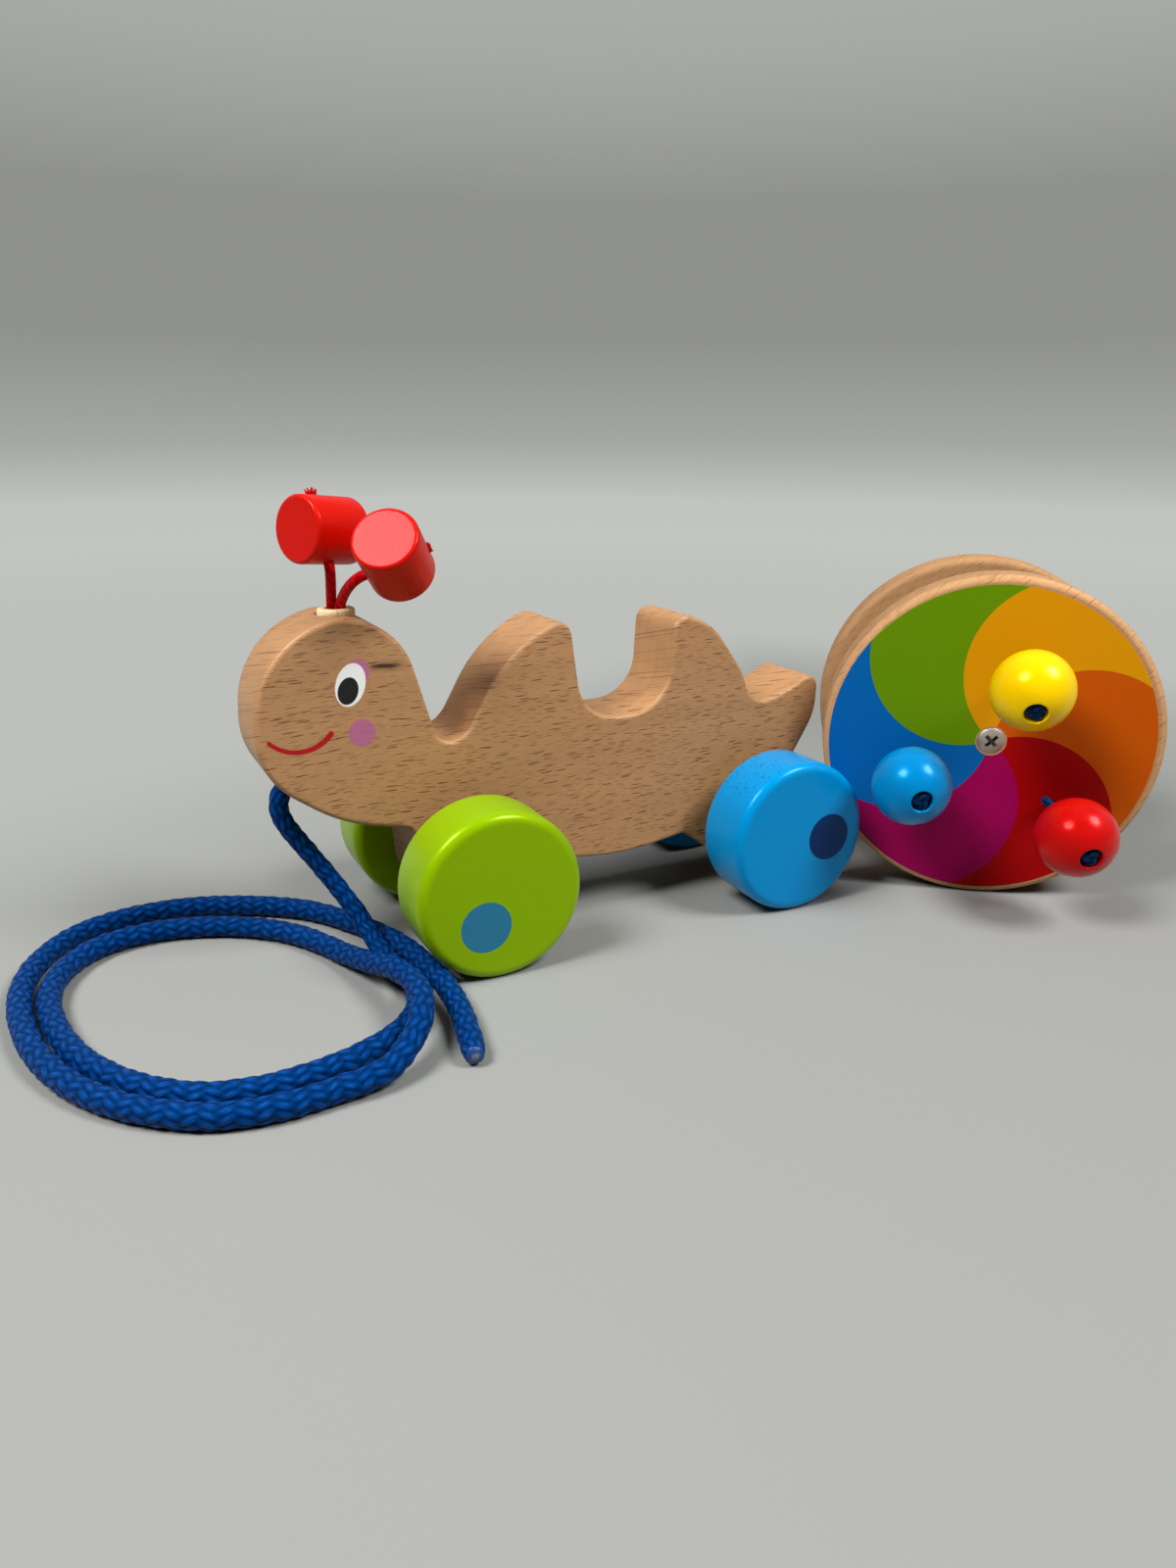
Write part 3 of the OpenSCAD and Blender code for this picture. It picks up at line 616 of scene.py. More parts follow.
def as_mesh(bm, name):
    mesh = bpy.data.meshes.new(name)
    bm.to_mesh(mesh)
    bm.free()
    return mesh


def add_object(name, data):
    made = bpy.data.objects.new(name, data)
    bpy.context.scene.collection.objects.link(made)
    return made


def smooth_object(bm, name, material, sharp=180):
    """Makes a bmesh into an object that is smooth but for edges over an angle, in degrees."""
    mesh = as_mesh(bm, name)
    mesh.shade_smooth()
    mesh.set_sharp_from_angle(angle=math.radians(sharp))
    mesh.materials.append(material)
    return add_object(name, mesh)


def carve(bm, *cutters):
    """Cuts each cutter's shape out of a solid and returns what is left."""
    block = add_object("block", as_mesh(bm, "block"))
    tools = [add_object("cutter", as_mesh(cutter, "cutter")) for cutter in cutters]
    for tool in tools:
        cut = block.modifiers.new("cut", "BOOLEAN")
        cut.operation, cut.solver, cut.object = "DIFFERENCE", "EXACT", tool
    carved = bmesh.new()
    carved.from_object(block, bpy.context.evaluated_depsgraph_get())
    for spent in [block] + tools:
        mesh = spent.data
        bpy.data.objects.remove(spent)
        bpy.data.meshes.remove(mesh)
    return carved


def piece(bm, name, material, body, slot, *nodes, sharp=38):
    """Makes a bmesh into a piece of the toy, hangs it on its body and hides the imported nodes
    that it replaces.
    """
    made = smooth_object(bm, name, material, sharp)
    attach(made, body)
    if nodes:
        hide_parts(*nodes)
    return made


# Cords and strings

def smooth_points(route, spacing):
    """Points a set distance apart on a smooth curve through a route, and its length; all of
    them in metres."""
    ends = [2 * route[0] - route[1]] + route + [2 * route[-1] - route[-2]]
    dense = []
    for a, b, c, d in zip(ends, ends[1:], ends[2:], ends[3:]):
        for step in range(24):
            t = step / 24
            dense.append(0.5 * (2 * b + (c - a) * t + (2 * a - 5 * b + 4 * c - d) * t * t
                                + (3 * b - a - 3 * c + d) * t ** 3))
    dense.append(route[-1])
    total = sum((b - a).length for a, b in zip(dense, dense[1:]))
    count = max(2, round(total / spacing))
    even, walked, step = [dense[0]], 0.0, total / count
    for a, b in zip(dense, dense[1:]):
        run = (b - a).length
        while len(even) < count and walked + run >= step * len(even):
            even.append(a.lerp(b, (step * len(even) - walked) / run))
        walked += run
    return even + [dense[-1]], total


def tube(bm, points, sides, radius_at):
    """Wraps a grid round a line of points. radius_at gives the radius for a way along the
    line and for an angle. The UV map holds both for the yarn."""
    rings = len(points) - 1
    uv = bm.loops.layers.uv.get("cord") or bm.loops.layers.uv.new("cord")
    made = bmesh.ops.create_grid(bm, x_segments=rings, y_segments=sides, size=0.5)
    walked, frames, side = [0.0], [], None
    for i, point in enumerate(points):
        way = (points[min(i + 1, rings)] - points[max(i - 1, 0)]).normalized()
        side = way.orthogonal() if side is None else side
        side = (side - side.dot(way) * way).normalized()
        frames.append((side, way.cross(side)))
        if i:
            walked.append(walked[-1] + (point - points[i - 1]).length)
    for face in {face for vert in made["verts"] for face in vert.link_faces}:
        for loop in face.loops:
            i = round((loop.vert.co.x + 0.5) * rings)
            loop[uv].uv = (walked[i], loop.vert.co.y + 0.5)
    for vert in made["verts"]:
        i, j = round((vert.co.x + 0.5) * rings), round((vert.co.y + 0.5) * sides)
        angle = math.tau * (j % sides) / sides
        out = math.cos(angle) * frames[i][0] + math.sin(angle) * frames[i][1]
        vert.co = points[i] + radius_at(walked[i], angle) * out
    bmesh.ops.remove_doubles(bm, verts=made["verts"], dist=1e-7)
    bmesh.ops.holes_fill(bm, edges=[edge for edge in bm.edges if edge.is_boundary], sides=0)
    bmesh.ops.recalc_face_normals(bm, faces=bm.faces)
    return bm


def lobe(part):
    """The round top of a strand, 1 at a whole number and 0 between two."""
    part -= round(part)
    return math.sqrt(max(0.0, 1 - STRAND_FALL * part * part))


def braided(radius, relief):
    """The radius of a round braid, where each strand passes over two and under two; its
    relief is in metres."""
    def radius_at(along, angle):
        run, round_it = along / (CORD_PITCH * MM), CORD_STRANDS * angle / math.tau
        a, b = run + round_it, run - round_it
        over = math.cos(math.pi * (0.5 * (b + round(a)) - 0.25))
        under = math.cos(math.pi * (0.5 * (a + round(b)) - 0.25))
        height = max(STRAND_TOP * lobe(a) + STRAND_CROSS * over,
                     STRAND_TOP * lobe(b) - STRAND_CROSS * under)
        top = max(0.0, (height + STRAND_LOW) / (1 + STRAND_LOW))
        lump = noise.noise((along / 0.003, math.cos(angle), math.sin(angle)))
        return radius * MM - relief * (1 - top - 0.2 * lump)
    return radius_at


def twisted(radius, relief, pitch):
    """The radius of a cord of twisted strands; its relief is in metres."""
    def radius_at(along, angle):
        strand = along / (pitch * MM) + TWIST_STRANDS * angle / math.tau
        return radius * MM - relief * (1 - lobe(strand))
    return radius_at


def bend(root, pull, enter, push, count):
    """Points on a curve that leaves root along pull and comes in to enter along push."""
    corners = (root, root + pull, enter - push, enter)
    return [sum(((math.comb(3, k) * (1 - t) ** (3 - k) * t ** k) * corners[k] for k in range(4)),
                Vector()) for t in (i / count for i in range(count + 1))]


# The toy's own measures, in mm

BODY_CORNERS = [
    (-63.5, 36.05, 3), (-61.5, 12.45, 10), (-34.0, 12.45, 10), (-25.0, 20.45, 4),
    (0.0, 16.45, 85), (25.0, 20.45, 4), (34.0, 12.45, 10), (61.0, 12.45, 10),
    (60.5, 34.45, 14), (72.0, 53.55, 19), (72.3, 68.85, 4), (62.0, 63.05, 10),
    (47.0, 57.45, 11), (43.5, 69.05, 30), (31.0, 85.95, 25), (18.0, 89.45, 5),
    (16.5, 61.05, 13.5), (-11.5, 60.25, 12.5), (-16.0, 91.55, 4.6), (-34.8, 82.55, 42),
    (-46.0, 62.55, 11), (-53.8, 54.65, 5.2), (-64.5, 91.55, 19), (-80.0, 94.75, 16),
    (-101.5, 90.45, 40), (-103.7, 55.75, 28.5), (-82.5, 40.45, 42),
]
CORD_D, CORD_LIES = 6.0, 3.1
# The pull cord from the head's hole to its end; points that lie on the floor have no height
CORD_ROUTE = [
    (-89, 0, 56), (-91.5, 0, 53), (-94, 0, 50), (-96, 0, 47), (-96.5, 0, 43), (-95, 0, 38.5),
    (-92, 0, 33.5), (-87.5, -0.5, 26.5), (-83.5, -1.5, 20), (-80, -4, 14), (-77.5, -8, 9),
    (-76, -15, 5.1), (-74.5, -23, 3.3), (-73, -31.5), (-74, -40.5), (-77.5, -50),
    (-84.5, -57.5), (-94, -62.5), (-105, -65.5), (-118, -66), (-131, -62), (-143, -51),
    (-152, -35), (-156.5, -17), (-157, 0), (-152, 14.5), (-142, 24), (-127, 26.5), (-110, 21),
    (-97, 11), (-89.5, 0), (-84.5, -12, 3.5), (-81, -24.5, 5.9), (-78, -36.5, 8.9),
    (-76.5, -48.5, 9.9), (-78.5, -59.5, 9.7), (-84, -68, 7.3), (-92, -73, 4.3), (-104, -74),
    (-117, -74.5), (-130, -71), (-142.5, -62), (-152.5, -49.5), (-159.5, -34), (-163, -18),
    (-164, -2), (-162, 12), (-156.5, 25), (-147.5, 35), (-134.5, 40), (-118, 39.5),
    (-101, 32.5), (-87, 22), (-77.5, 8), (-71.5, -5), (-68, -17), (-66.5, -29), (-66, -41),
    (-67, -53), (-69, -64), (-71.5, -74.5),
]
CORD_STRANDS, CORD_PITCH = 8, 3.6
PLUG_AT = (-77.8, 0.0, 95.65)
PLUG_D, PLUG_L, PLUG_HOLE_D, PLUG_HOLE_L = 9.8, 14.2, 5.6, 3.0
# Each feeler: the side of its root, its barrel's centre from the plug's top, its turn and
# lift, the turn of its bore about its axis, and the bore's place along the axis
FEELERS = {
    "left": (-1, (-1.6, 0.8, 19.5), -153.4, 5.5, 112, 1.0),
    "right": (1, (11.2, -16.2, 14.2), -125.2, 36.6, 28, -2.5),
}
BARREL_D, BARREL_L, FEELER_CORD_D, FEELER_CORD_PITCH = 17.1, 16.9, 2.7, 2.6
TWIST_STRANDS = 3
# The shell: the middle of its front disc's face, with the axle's way as Y
SHELL = shift(107.0, -52.4, 50.0) @ rotated(-37.7, "Z")
DISC_T, SHELL_LEN, HUB_D = 14.3, 60.0, 27.0
SCREW_HEAD_D, SCREW_D, SCREW_L, SCREW_SINK, SCREW_DOME = 8.1, 4.0, 28.0, 2.6, 0.9
BEAD_D, BEAD_HOLE_D, BEAD_HOLE_L = 23.2, 6.3, 6.0
STRING_D, STRING_PITCH, STRING_CIRCLE_D = 2.4, 3.4, 55.4
STRING_HOLE_D, STRING_HOLE_L = 3.0, 8.0
# Each bead: the angle of its hole, its reach, its turn aside and its droop, its place
# across and up from the hole's line, and how far its string bows that way
BEADS = {
    "yellow": (76, 19.6, -3.0, 23.0, (0.3, 1.1), (0.6, -4.0)),
    "blue": (196, 18.5, 11.6, 6.7, (-1.3, -0.3), (0, 0)),
    "red": (316, 20.2, 11.7, 13.0, (-1.0, 1.5), (-4.8, 4.2)),
}


# Shapes

def outline(bm, corners, y):
    """Draws a closed outline of lines and arcs; where two arcs meet on a short side both
    shrink alike."""
    count = len(corners)
    points = [Vector((x, z)) * MM for x, z, _ in corners]
    ways = [((points[i - 1] - points[i]).normalized(),
             (points[(i + 1) % count] - points[i]).normalized()) for i in range(count)]
    halves = [back.angle(on) / 2 for back, on in ways]
    setbacks = [corner[2] * MM / math.tan(half) for corner, half in zip(corners, halves)]
    shares = [min(1.0, 0.99 * (points[(i + 1) % count] - points[i]).length
                  / (setbacks[i] + setbacks[(i + 1) % count])) for i in range(count)]
    chain = []
    for i, (back, on) in enumerate(ways):
        radius = corners[i][2] * MM * min(shares[i - 1], shares[i])
        start = points[i] + back * (radius / math.tan(halves[i]))
        centre = points[i] + (back + on).normalized() * (radius / math.sin(halves[i]))
        hollow = back.x * on.y - back.y * on.x > 0
        turn = math.pi - 2 * halves[i]
        first = bm.verts.new((start.x, y, start.y))
        last = arc(bm, first, (centre.x, y, centre.y), (0, 1 if hollow else -1, 0), turn,
                   max(2, math.ceil(math.degrees(turn) / 4)))
        chain.append((first, last))
    for (_, last), (first, _) in zip(chain, chain[1:] + chain[:1]):
        bm.edges.new((last, first))


def board(edge):
    """A board of the creature's outline with rounded rims."""
    bm = bmesh.new()
    outline(bm, BODY_CORNERS, -BODY_T / 2 * MM)
    bmesh.ops.edgeloop_fill(bm, edges=bm.edges)
    made = bmesh.ops.extrude_face_region(bm, geom=bm.faces[:])
    verts = [part for part in made["geom"] if isinstance(part, bmesh.types.BMVert)]
    bmesh.ops.translate(bm, vec=(0, BODY_T * MM, 0), verts=verts)
    tidy(bm)
    rims = [edge for edge in bm.edges if max(len(face.verts) for face in edge.link_faces) > 4]
    soften(bm, rims, edge, 7)
    sides = [face for face in bm.faces if len(face.verts) > 8]
    bmesh.ops.inset_region(bm, faces=sides, thickness=0.3 * MM, use_even_offset=True)
    return bm


def barrel_frame(feeler):
    """The place of a feeler's barrel, whose axis is its own X."""
    _, middle, turn, lift, _, _ = FEELERS[feeler]
    return shift(*PLUG_AT) @ shift(*middle) @ rotated(turn, "Z") @ rotated(-lift, "Y")


def bore_of(feeler):
    """A point on the axis of a barrel's bore, in millimetres, and its direction, both along
    the barrel's own axes."""
    *_, roll, offset = FEELERS[feeler]
    return Vector((offset, 0, 0)), rotated(roll, "X").to_3x3() @ Vector((0, 1, 0))


def barrel(feeler, edge):
    """A turned barrel with round rims and a bore across it for its cord."""
    half, radius = BARREL_L / 2, BARREL_D / 2
    inner = radius - edge / MM - 0.3
    bm = turned([(0, -half), (inner, -half), (radius, -half), (radius, half), (inner, half),
                 (0, half)], radius, (-half, half), edge, 7, 80)
    middle, way = bore_of(feeler)
    bore = bar(FEELER_CORD_D / 2 + 0.18, middle - way * BARREL_D, way, 2 * BARREL_D)
    return moved(carve(moved(bm, TURN_TO_X), bore), barrel_frame(feeler))


def feeler_route(feeler):
    """A feeler's cord from inside the plug to where it leaves its barrel, in metres, and the
    way that it leaves by."""
    side, axes = FEELERS[feeler][0], barrel_frame(feeler)
    middle, way = bore_of(feeler)
    middle, way = axes @ (middle * MM), (axes.to_3x3() @ way).normalized()
    root = (Vector(PLUG_AT) + Vector((side * 0.75, side * -1.1, 0))) * MM
    enter = middle - way * (BARREL_D / 2 + 0.5) * MM
    rise = enter - root
    lean = (rise.normalized() + Vector((0, 0, 1))).normalized() * rise.length / 3
    leave = middle + way * (BARREL_D / 2 + 0.2) * MM
    curve = bend(root, lean, enter, way * rise.length / 5, 10)
    return [root - Vector((0, 0, 1.5 * MM))] + curve + [middle, leave], way


def shell_end(side):
    """The middle of a disc's outer face, with the shell's axes, and turned to face outwards."""
    if side == NEAR:
        return SHELL, SHELL
    middle = SHELL @ shift(0, SHELL_LEN, 0)
    return middle, middle @ rotated(180, "Z")


def fray(bm, root, way, radius, length, count, chance):
    """A tuft of loose fibres that spread from the cord's end."""
    side = way.orthogonal().normalized()
    for _ in range(count):
        lean = Matrix.Rotation(chance.uniform(0, math.tau), 3, way) @ side
        out = radius * math.sqrt(chance.random()) * 0.85
        reach = length * chance.uniform(0.5, 1.0)
        spread = chance.uniform(0.0, 0.3)
        curl = chance.uniform(-0.2, 0.2) * way.cross(lean)
        points = [root + lean * out + way * (reach * t - 0.0006)
                  + (lean * spread + curl) * reach * t * t for t in (0, 0.3, 0.6, 0.85, 1.0)]
        thin = radius * chance.uniform(0.07, 0.12)
        tube(bm, points, 5, lambda along, angle: thin * (1 - 60 * max(0.0, along - 0.5 * reach)))


def string_hole(angle):
    """Where a string leaves the front disc's face, along the shell's axes."""
    return rotated(-angle, "Y").to_3x3() @ Vector((STRING_CIRCLE_D / 2, 0, 0))


def bead_frame(bead):
    """The place of a bead's string at its hole: -Y runs out of the disc."""
    angle, _, aside, droop, *_ = BEADS[bead]
    return SHELL @ shift(*string_hole(angle)) @ rotated(aside, "Z") @ rotated(droop, "X")


def round_bead(bead, lip):
    """A bead with a bore for its string and a wide hole for the knot."""
    radius, bore, hole = BEAD_D / 2, STRING_D / 2 + 0.2, BEAD_HOLE_D / 2
    low, high = -math.sqrt(radius ** 2 - bore ** 2), math.sqrt(radius ** 2 - hole ** 2)
    bm = bmesh.new()
    first = bm.verts.new((bore * MM, 0, low * MM))
    turn = math.atan2(high, hole) - math.atan2(low, bore)
    last = arc(bm, first, (0, 0, 0), (0, -1, 0), turn, 44)
    floor = radius - BEAD_HOLE_L
    rest = [bm.verts.new((r * MM, 0, h * MM)) for r, h in ((hole, floor), (bore, floor))]
    link(bm, [last] + rest + [first])
    spin_full(bm, 96)
    soften(bm, ring(bm, hole, high), lip, 5)
    _, reach, _, _, (aside, up), _ = BEADS[bead]
    return moved(bm, bead_frame(bead) @ shift(aside, -reach, up) @ rotated(90, "X"))


def bead_cord(bead, relief):
    """A bead's string: out of its hole, bent to the bead, through it and into a knot."""
    _, reach, aside, droop, (x, z), bow = BEADS[bead]
    out = (rotated(-droop, "X") @ rotated(-aside, "Z")).to_3x3() @ Vector((0, -1, 0))
    enter = Vector((x, -reach + BEAD_D / 2, z))
    seat = Vector((x, -reach - BEAD_D / 2 + BEAD_HOLE_L - 2.6, z))
    pull = enter.length / 2.6
    bow = Vector((bow[0], 0, bow[1]))
    curve = bend(Vector(), out * pull + bow, enter, Vector((0, -pull, 0)) - bow, 8)
    line = [out * -1.5] + curve + [seat]
    points, _ = smooth_points([point * MM for point in line], 0.3 * MM)
    bm = tube(bmesh.new(), points, 24, twisted(STRING_D / 2, relief, STRING_PITCH))
    size, sink = 0.66, 1.2
    knot = [seat + Vector((size * (math.sin(t) + 2 * math.sin(2 * t)),
                           0.6 * math.sin(3 * t) - sink,
                           size * (math.cos(t) - 2 * math.cos(2 * t))))
            for t in (math.tau * k / 30 + 0.4 for k in range(31))]
    points, _ = smooth_points([point * MM for point in knot], 0.3 * MM)
    tube(bm, points, 20, twisted(0.45 * STRING_D, relief, STRING_PITCH))
    return moved(bm, bead_frame(bead))


def cross_screw():
    """A countersunk screw with a cross recess; its head's rim is at height 0."""
    radius, shank = SCREW_HEAD_D / 2, SCREW_D / 2
    bm = bmesh.new()
    ball = (radius ** 2 + SCREW_DOME ** 2) / (2 * SCREW_DOME)
    top = bm.verts.new((0, 0, -SCREW_DOME * MM))
    rim = arc(bm, top, (0, 0, (ball - SCREW_DOME) * MM), (0, -1, 0), math.asin(radius / ball), 8)
    chain = [(radius, 0.25), (shank, SCREW_SINK), (shank, SCREW_L - 4), (0, SCREW_L)]
    link(bm, [rim] + [bm.verts.new((r * MM, 0, h * MM)) for r, h in chain])
    spin_full(bm, 64)
    soften(bm, ring(bm, radius, 0.0), 0.12 * MM, 3)
    slots = []
    for turn in (45, -45):
        slot = bmesh.new()
        bmesh.ops.create_cube(slot, size=1.0)
        bmesh.ops.scale(slot, vec=Vector((radius * 1.35, radius * 0.32, 2.6)) * MM,
                        verts=slot.verts)
        deep = [vert for vert in slot.verts if vert.co.z > 0]
        bmesh.ops.scale(slot, vec=(0.6, 0.6, 1), verts=deep)
        slots.append(moved(slot, rotated(turn, "Z") @ shift(0, 0, -0.3)))
    return carve(bm, *slots)


# Operators

def sizes_and_colours(context):
    return context.scene.pull_toy_sizes, context.scene.pull_toy_colours


class PULLTOY_OT_camera(bpy.types.Operator):
    """Sets up the camera at the picture's viewing angle"""
    bl_idname = "pulltoy.camera"
    bl_label = "Camera"

    def execute(self, context):
        data = bpy.data.cameras.new("camera")
        data.sensor_fit, data.sensor_height, data.lens = "VERTICAL", 36.0, 24.94
        data.clip_start = 0.01
        camera = add_object("camera", data)
        forward = Vector((0.4362, 0.8445, -0.3107)).normalized()
        right = forward.cross(Vector((0.1379, 0.2784, 0.9505))).normalized()
        turn = Matrix((right, right.cross(forward), -forward)).transposed().to_4x4()
        camera.matrix_world = shift(-148.5, -279.5, 139.8) @ turn
        context.scene.camera = camera
        return {"FINISHED"}


class PULLTOY_OT_pull_cord(bpy.types.Operator):
    """Braids the pull cord along its route and melts its free end"""
    bl_idname = "pulltoy.pull_cord"
    bl_label = "Pull cord"

    def execute(self, context):
        sizes, colours = sizes_and_colours(context)
        route = [Vector((x, y, *(height or [CORD_LIES]))) * MM for x, y, *height in CORD_ROUTE]
        points, length = smooth_points(route, 0.4 * MM)
        plain = braided(CORD_D / 2 + 0.04, sizes.cord_relief)
        taper = 5.0 * MM

        def radius_at(along, angle):
            pinch = min(1.0, max(0.0, (along - length + taper) / taper))
            taut = min(1.0, max(0.0, (0.11 - along) / 0.05))
            return plain(along, angle) * (1 - 0.22 * pinch * pinch) * (1 - 0.13 * taut)

        bm = tube(bmesh.new(), points, 46, radius_at)
        finish = yarn("rope", colours.rope, CORD_STRANDS, CORD_PITCH, True, 0.25, 0.03, 0.92)
        rope = piece(bm, "pull_cord_braid", finish, "toy", "blue_rope", "pull_cord",
                     "pull_cord_loops", sharp=180)
        tip = points[-1]
        way = (tip - points[-8]).normalized()
        bulge = [tip + way * step * MM for step in (-0.6, -0.2, 0.2, 0.6, 0.9, 1.1)]
        widths = (2.1, 2.3, 2.2, 1.8, 1.2, 0.4)

        def lumpy(along, angle):
            place = min(4.999, along / (bulge[-1] - bulge[0]).length * 5)
            at = int(place)
            width = widths[at] + (widths[at + 1] - widths[at]) * (place - at)
            lump = noise.noise((1.3 * math.cos(angle), 1.3 * math.sin(angle), 2))
            return width * MM * (1 + 0.16 * lump)

        bm = tube(bmesh.new(), smooth_points(bulge, 0.12 * MM)[0], 28, lumpy)
        end = piece(bm, "pull_cord_end", melted(colours.rope, Matrix.Translation(tip)), "toy",
                    "blue_rope", sharp=180)
        return {"FINISHED"}


class PULLTOY_OT_body(bpy.types.Operator):
    """Saws the creature from a board, rounds it, bores it and paints its face"""
    bl_idname = "pulltoy.body"
    bl_label = "Body"

    def execute(self, context):
        sizes, colours = sizes_and_colours(context)
        bm = board(sizes.body_edge)
        axles = [bar(AXLE_D / 2 + 0.08, (x, -20, AXLE_Z), (0, 1, 0), 40, 64)
                 for x in (-AXLE_X, AXLE_X)]
        low = (PLUG_AT[0] - 0.2, 0, PLUG_AT[2] - PLUG_L)
        plug = bar(PLUG_D / 2 + 0.35, low, (0, 0, 1), 20, 64)
        start = Vector(CORD_ROUTE[0])
        way = Vector(CORD_ROUTE[1]) - start
        cord = bar(CORD_D / 2 + 0.3, start - way.normalized() * 0.1, way, 14.0)
        bm = carve(bm, *axles, plug, cord)
        piece(bm, "beech_body", body_wood(colours), "toy", "beech", "body")
        return {"FINISHED"}


class PULLTOY_OT_axles(bpy.types.Operator):
    """Cuts the two dowels that carry the wheels"""
    bl_idname = "pulltoy.axles"
    bl_label = "Axles"

    def execute(self, context):
        colours = context.scene.pull_toy_colours
        finish = wood("axle_dowel", colours, rotated(90, "Z"), 0.4, colours.dowel)
        for name, x in (("front", -AXLE_X), ("rear", AXLE_X)):
            end, radius = across(name + "_axle", 1) / 2, AXLE_D / 2
            bm = turned([(0, -end), (radius, -end), (radius, end), (0, end)], radius,
                        (-end, end), 0.7 * MM, 3, 64)
            moved(bm, shift(x, 0, AXLE_Z) @ TURN_TO_Y)
            piece(bm, name + "_dowel", finish, name + "_wheels", "dowel", name + "_axle")
        return {"FINISHED"}


class PULLTOY_OT_wheels(bpy.types.Operator):
    """Turns the four wheels and lacquers them, each with a painted dot off its centre"""
    bl_idname = "pulltoy.wheels"
    bl_label = "Wheels"

    def execute(self, context):
        sizes, colours = sizes_and_colours(context)
        radius, seat, bore = WHEEL_D / 2, 14.3, AXLE_D / 2 + 0.02
        inner = radius - sizes.wheel_edge / MM - 0.4
        out = WHEEL_Y + WHEEL_T - 0.3
        paints = {
            "front": (colours.green, (-5.0, -7.4), 7.1, colours.teal, "green_lacquer", None),
            "rear": (colours.blue, (10.0, -1.0), 7.3, colours.navy, "blue_lacquer",
                     (0.24, (-11.0, -27.0, 19.0), 13.0)),
        }
        for axle, x in (("front", -AXLE_X), ("rear", AXLE_X)):
            colour, dot, size, tint, slot, pits = paints[axle]
            finish = lacquer(slot, colour, shift(x, 0, AXLE_Z), dots=[(dot, size, tint, out)],
                             pits=pits)
            for name, side in (("near", NEAR), ("far", FAR)):
                bm = turned([(0, seat), (bore, seat), (bore, 0), (inner, 0), (radius, 0),
                             (radius, WHEEL_T), (inner, WHEEL_T), (0, WHEEL_T)], radius,
                            (0.0, WHEEL_T), sizes.wheel_edge, 7, 128)
                moved(bm, shift(x, side * WHEEL_Y, AXLE_Z) @ rotated(-90 * side, "X"))
                node = "%s_wheel_%s" % (axle, name)
                piece(bm, "turned_" + node, finish, axle + "_wheels", slot, node)
        return {"FINISHED"}


class PULLTOY_OT_plug(bpy.types.Operator):
    """Turns the pale plug in the head's top"""
    bl_idname = "pulltoy.plug"
    bl_label = "Plug"

    def execute(self, context):
        colours = context.scene.pull_toy_colours
        radius, hole = PLUG_D / 2, PLUG_HOLE_D / 2
        bm = lathe([(0, -PLUG_HOLE_L), (hole, -PLUG_HOLE_L), (hole, 0), (radius, 0),
                    (radius, -PLUG_L), (0, -PLUG_L)], 72)
        soften(bm, ring(bm, radius, 0), 0.7 * MM, 4)
        soften(bm, ring(bm, hole, 0), 0.25 * MM, 3)
        moved(bm, shift(*PLUG_AT))
        finish = wood("plug_wood", colours, shift(*PLUG_AT) @ TURN_TO_X, 0.5, colours.dowel)
        piece(bm, "feeler_plug", finish, "toy", "dowel", "antenna_plug")
        return {"FINISHED"}


class PULLTOY_OT_feelers(bpy.types.Operator):
    """Strings the two red barrels on their crimson cords"""
    bl_idname = "pulltoy.feelers"
    bl_label = "Feelers"

    def execute(self, context):
        sizes, colours = sizes_and_colours(context)
        thread = yarn("crimson_thread", colours.crimson, TWIST_STRANDS, FEELER_CORD_PITCH, False,
                      0.04, 0.2, 0.3)
        chance = random.Random(7)
        for feeler, tuft in (("left", 2.7), ("right", 1.2)):
            body = "feeler_" + feeler
            finish = lacquer("red_" + feeler, colours.red, barrel_frame(feeler), gloss=0.42,
                             coat=0.13, weave=0.10)
            piece(barrel(feeler, sizes.barrel_edge), "barrel_" + feeler, finish, body,
                  "red_lacquer", "antenna_barrel_" + feeler)
            route, way = feeler_route(feeler)
            points, _ = smooth_points(route, 0.35 * MM)
            bm = tube(bmesh.new(), points, 22,
                      twisted(FEELER_CORD_D / 2, 0.05 * MM, FEELER_CORD_PITCH))
            fray(bm, route[-1], way, FEELER_CORD_D / 2 * MM, tuft * MM, 70, chance)
            piece(bm, "cord_" + feeler, thread, body, "crimson_cord", "antenna_cord_" + feeler,
                  sharp=180)
        return {"FINISHED"}


class PULLTOY_OT_discs(bpy.types.Operator):
    """Turns the shell's two discs and prints a pinwheel on each outer face"""
    bl_idname = "pulltoy.discs"
    bl_label = "Shell discs"

    def execute(self, context):
        sizes, colours = sizes_and_colours(context)
        radius, bore, head = DISC_D / 2, SCREW_D / 2 + 0.08, SCREW_HEAD_D / 2 + 0.08
        inner = radius - sizes.disc_edge / MM - 0.4
        for name, side in (("front", NEAR), ("back", FAR)):
            bm = turned([(bore, SCREW_SINK), (head, 0), (inner, 0), (radius, 0), (radius, DISC_T),
                         (inner, DISC_T), (bore, DISC_T)], radius, (0.0, DISC_T),
                        sizes.disc_edge, 6, 160, closed=True)
            moved(bm, TURN_TO_Y)
            if side == NEAR:
                bm = carve(bm, *(bar(STRING_HOLE_D / 2, string_hole(bead[0]) - Vector((0, 1, 0)),
                                     (0, 1, 0), STRING_HOLE_L + 1, 32) for bead in BEADS.values()))
            middle, outwards = shell_end(side)
            moved(bm, outwards)
            finish = pinwheel("printed_" + name, colours, middle, side)
            piece(bm, "disc_" + name, finish, "shell_" + name, "printed_beech",
                  "shell_disc_" + name)
        return {"FINISHED"}


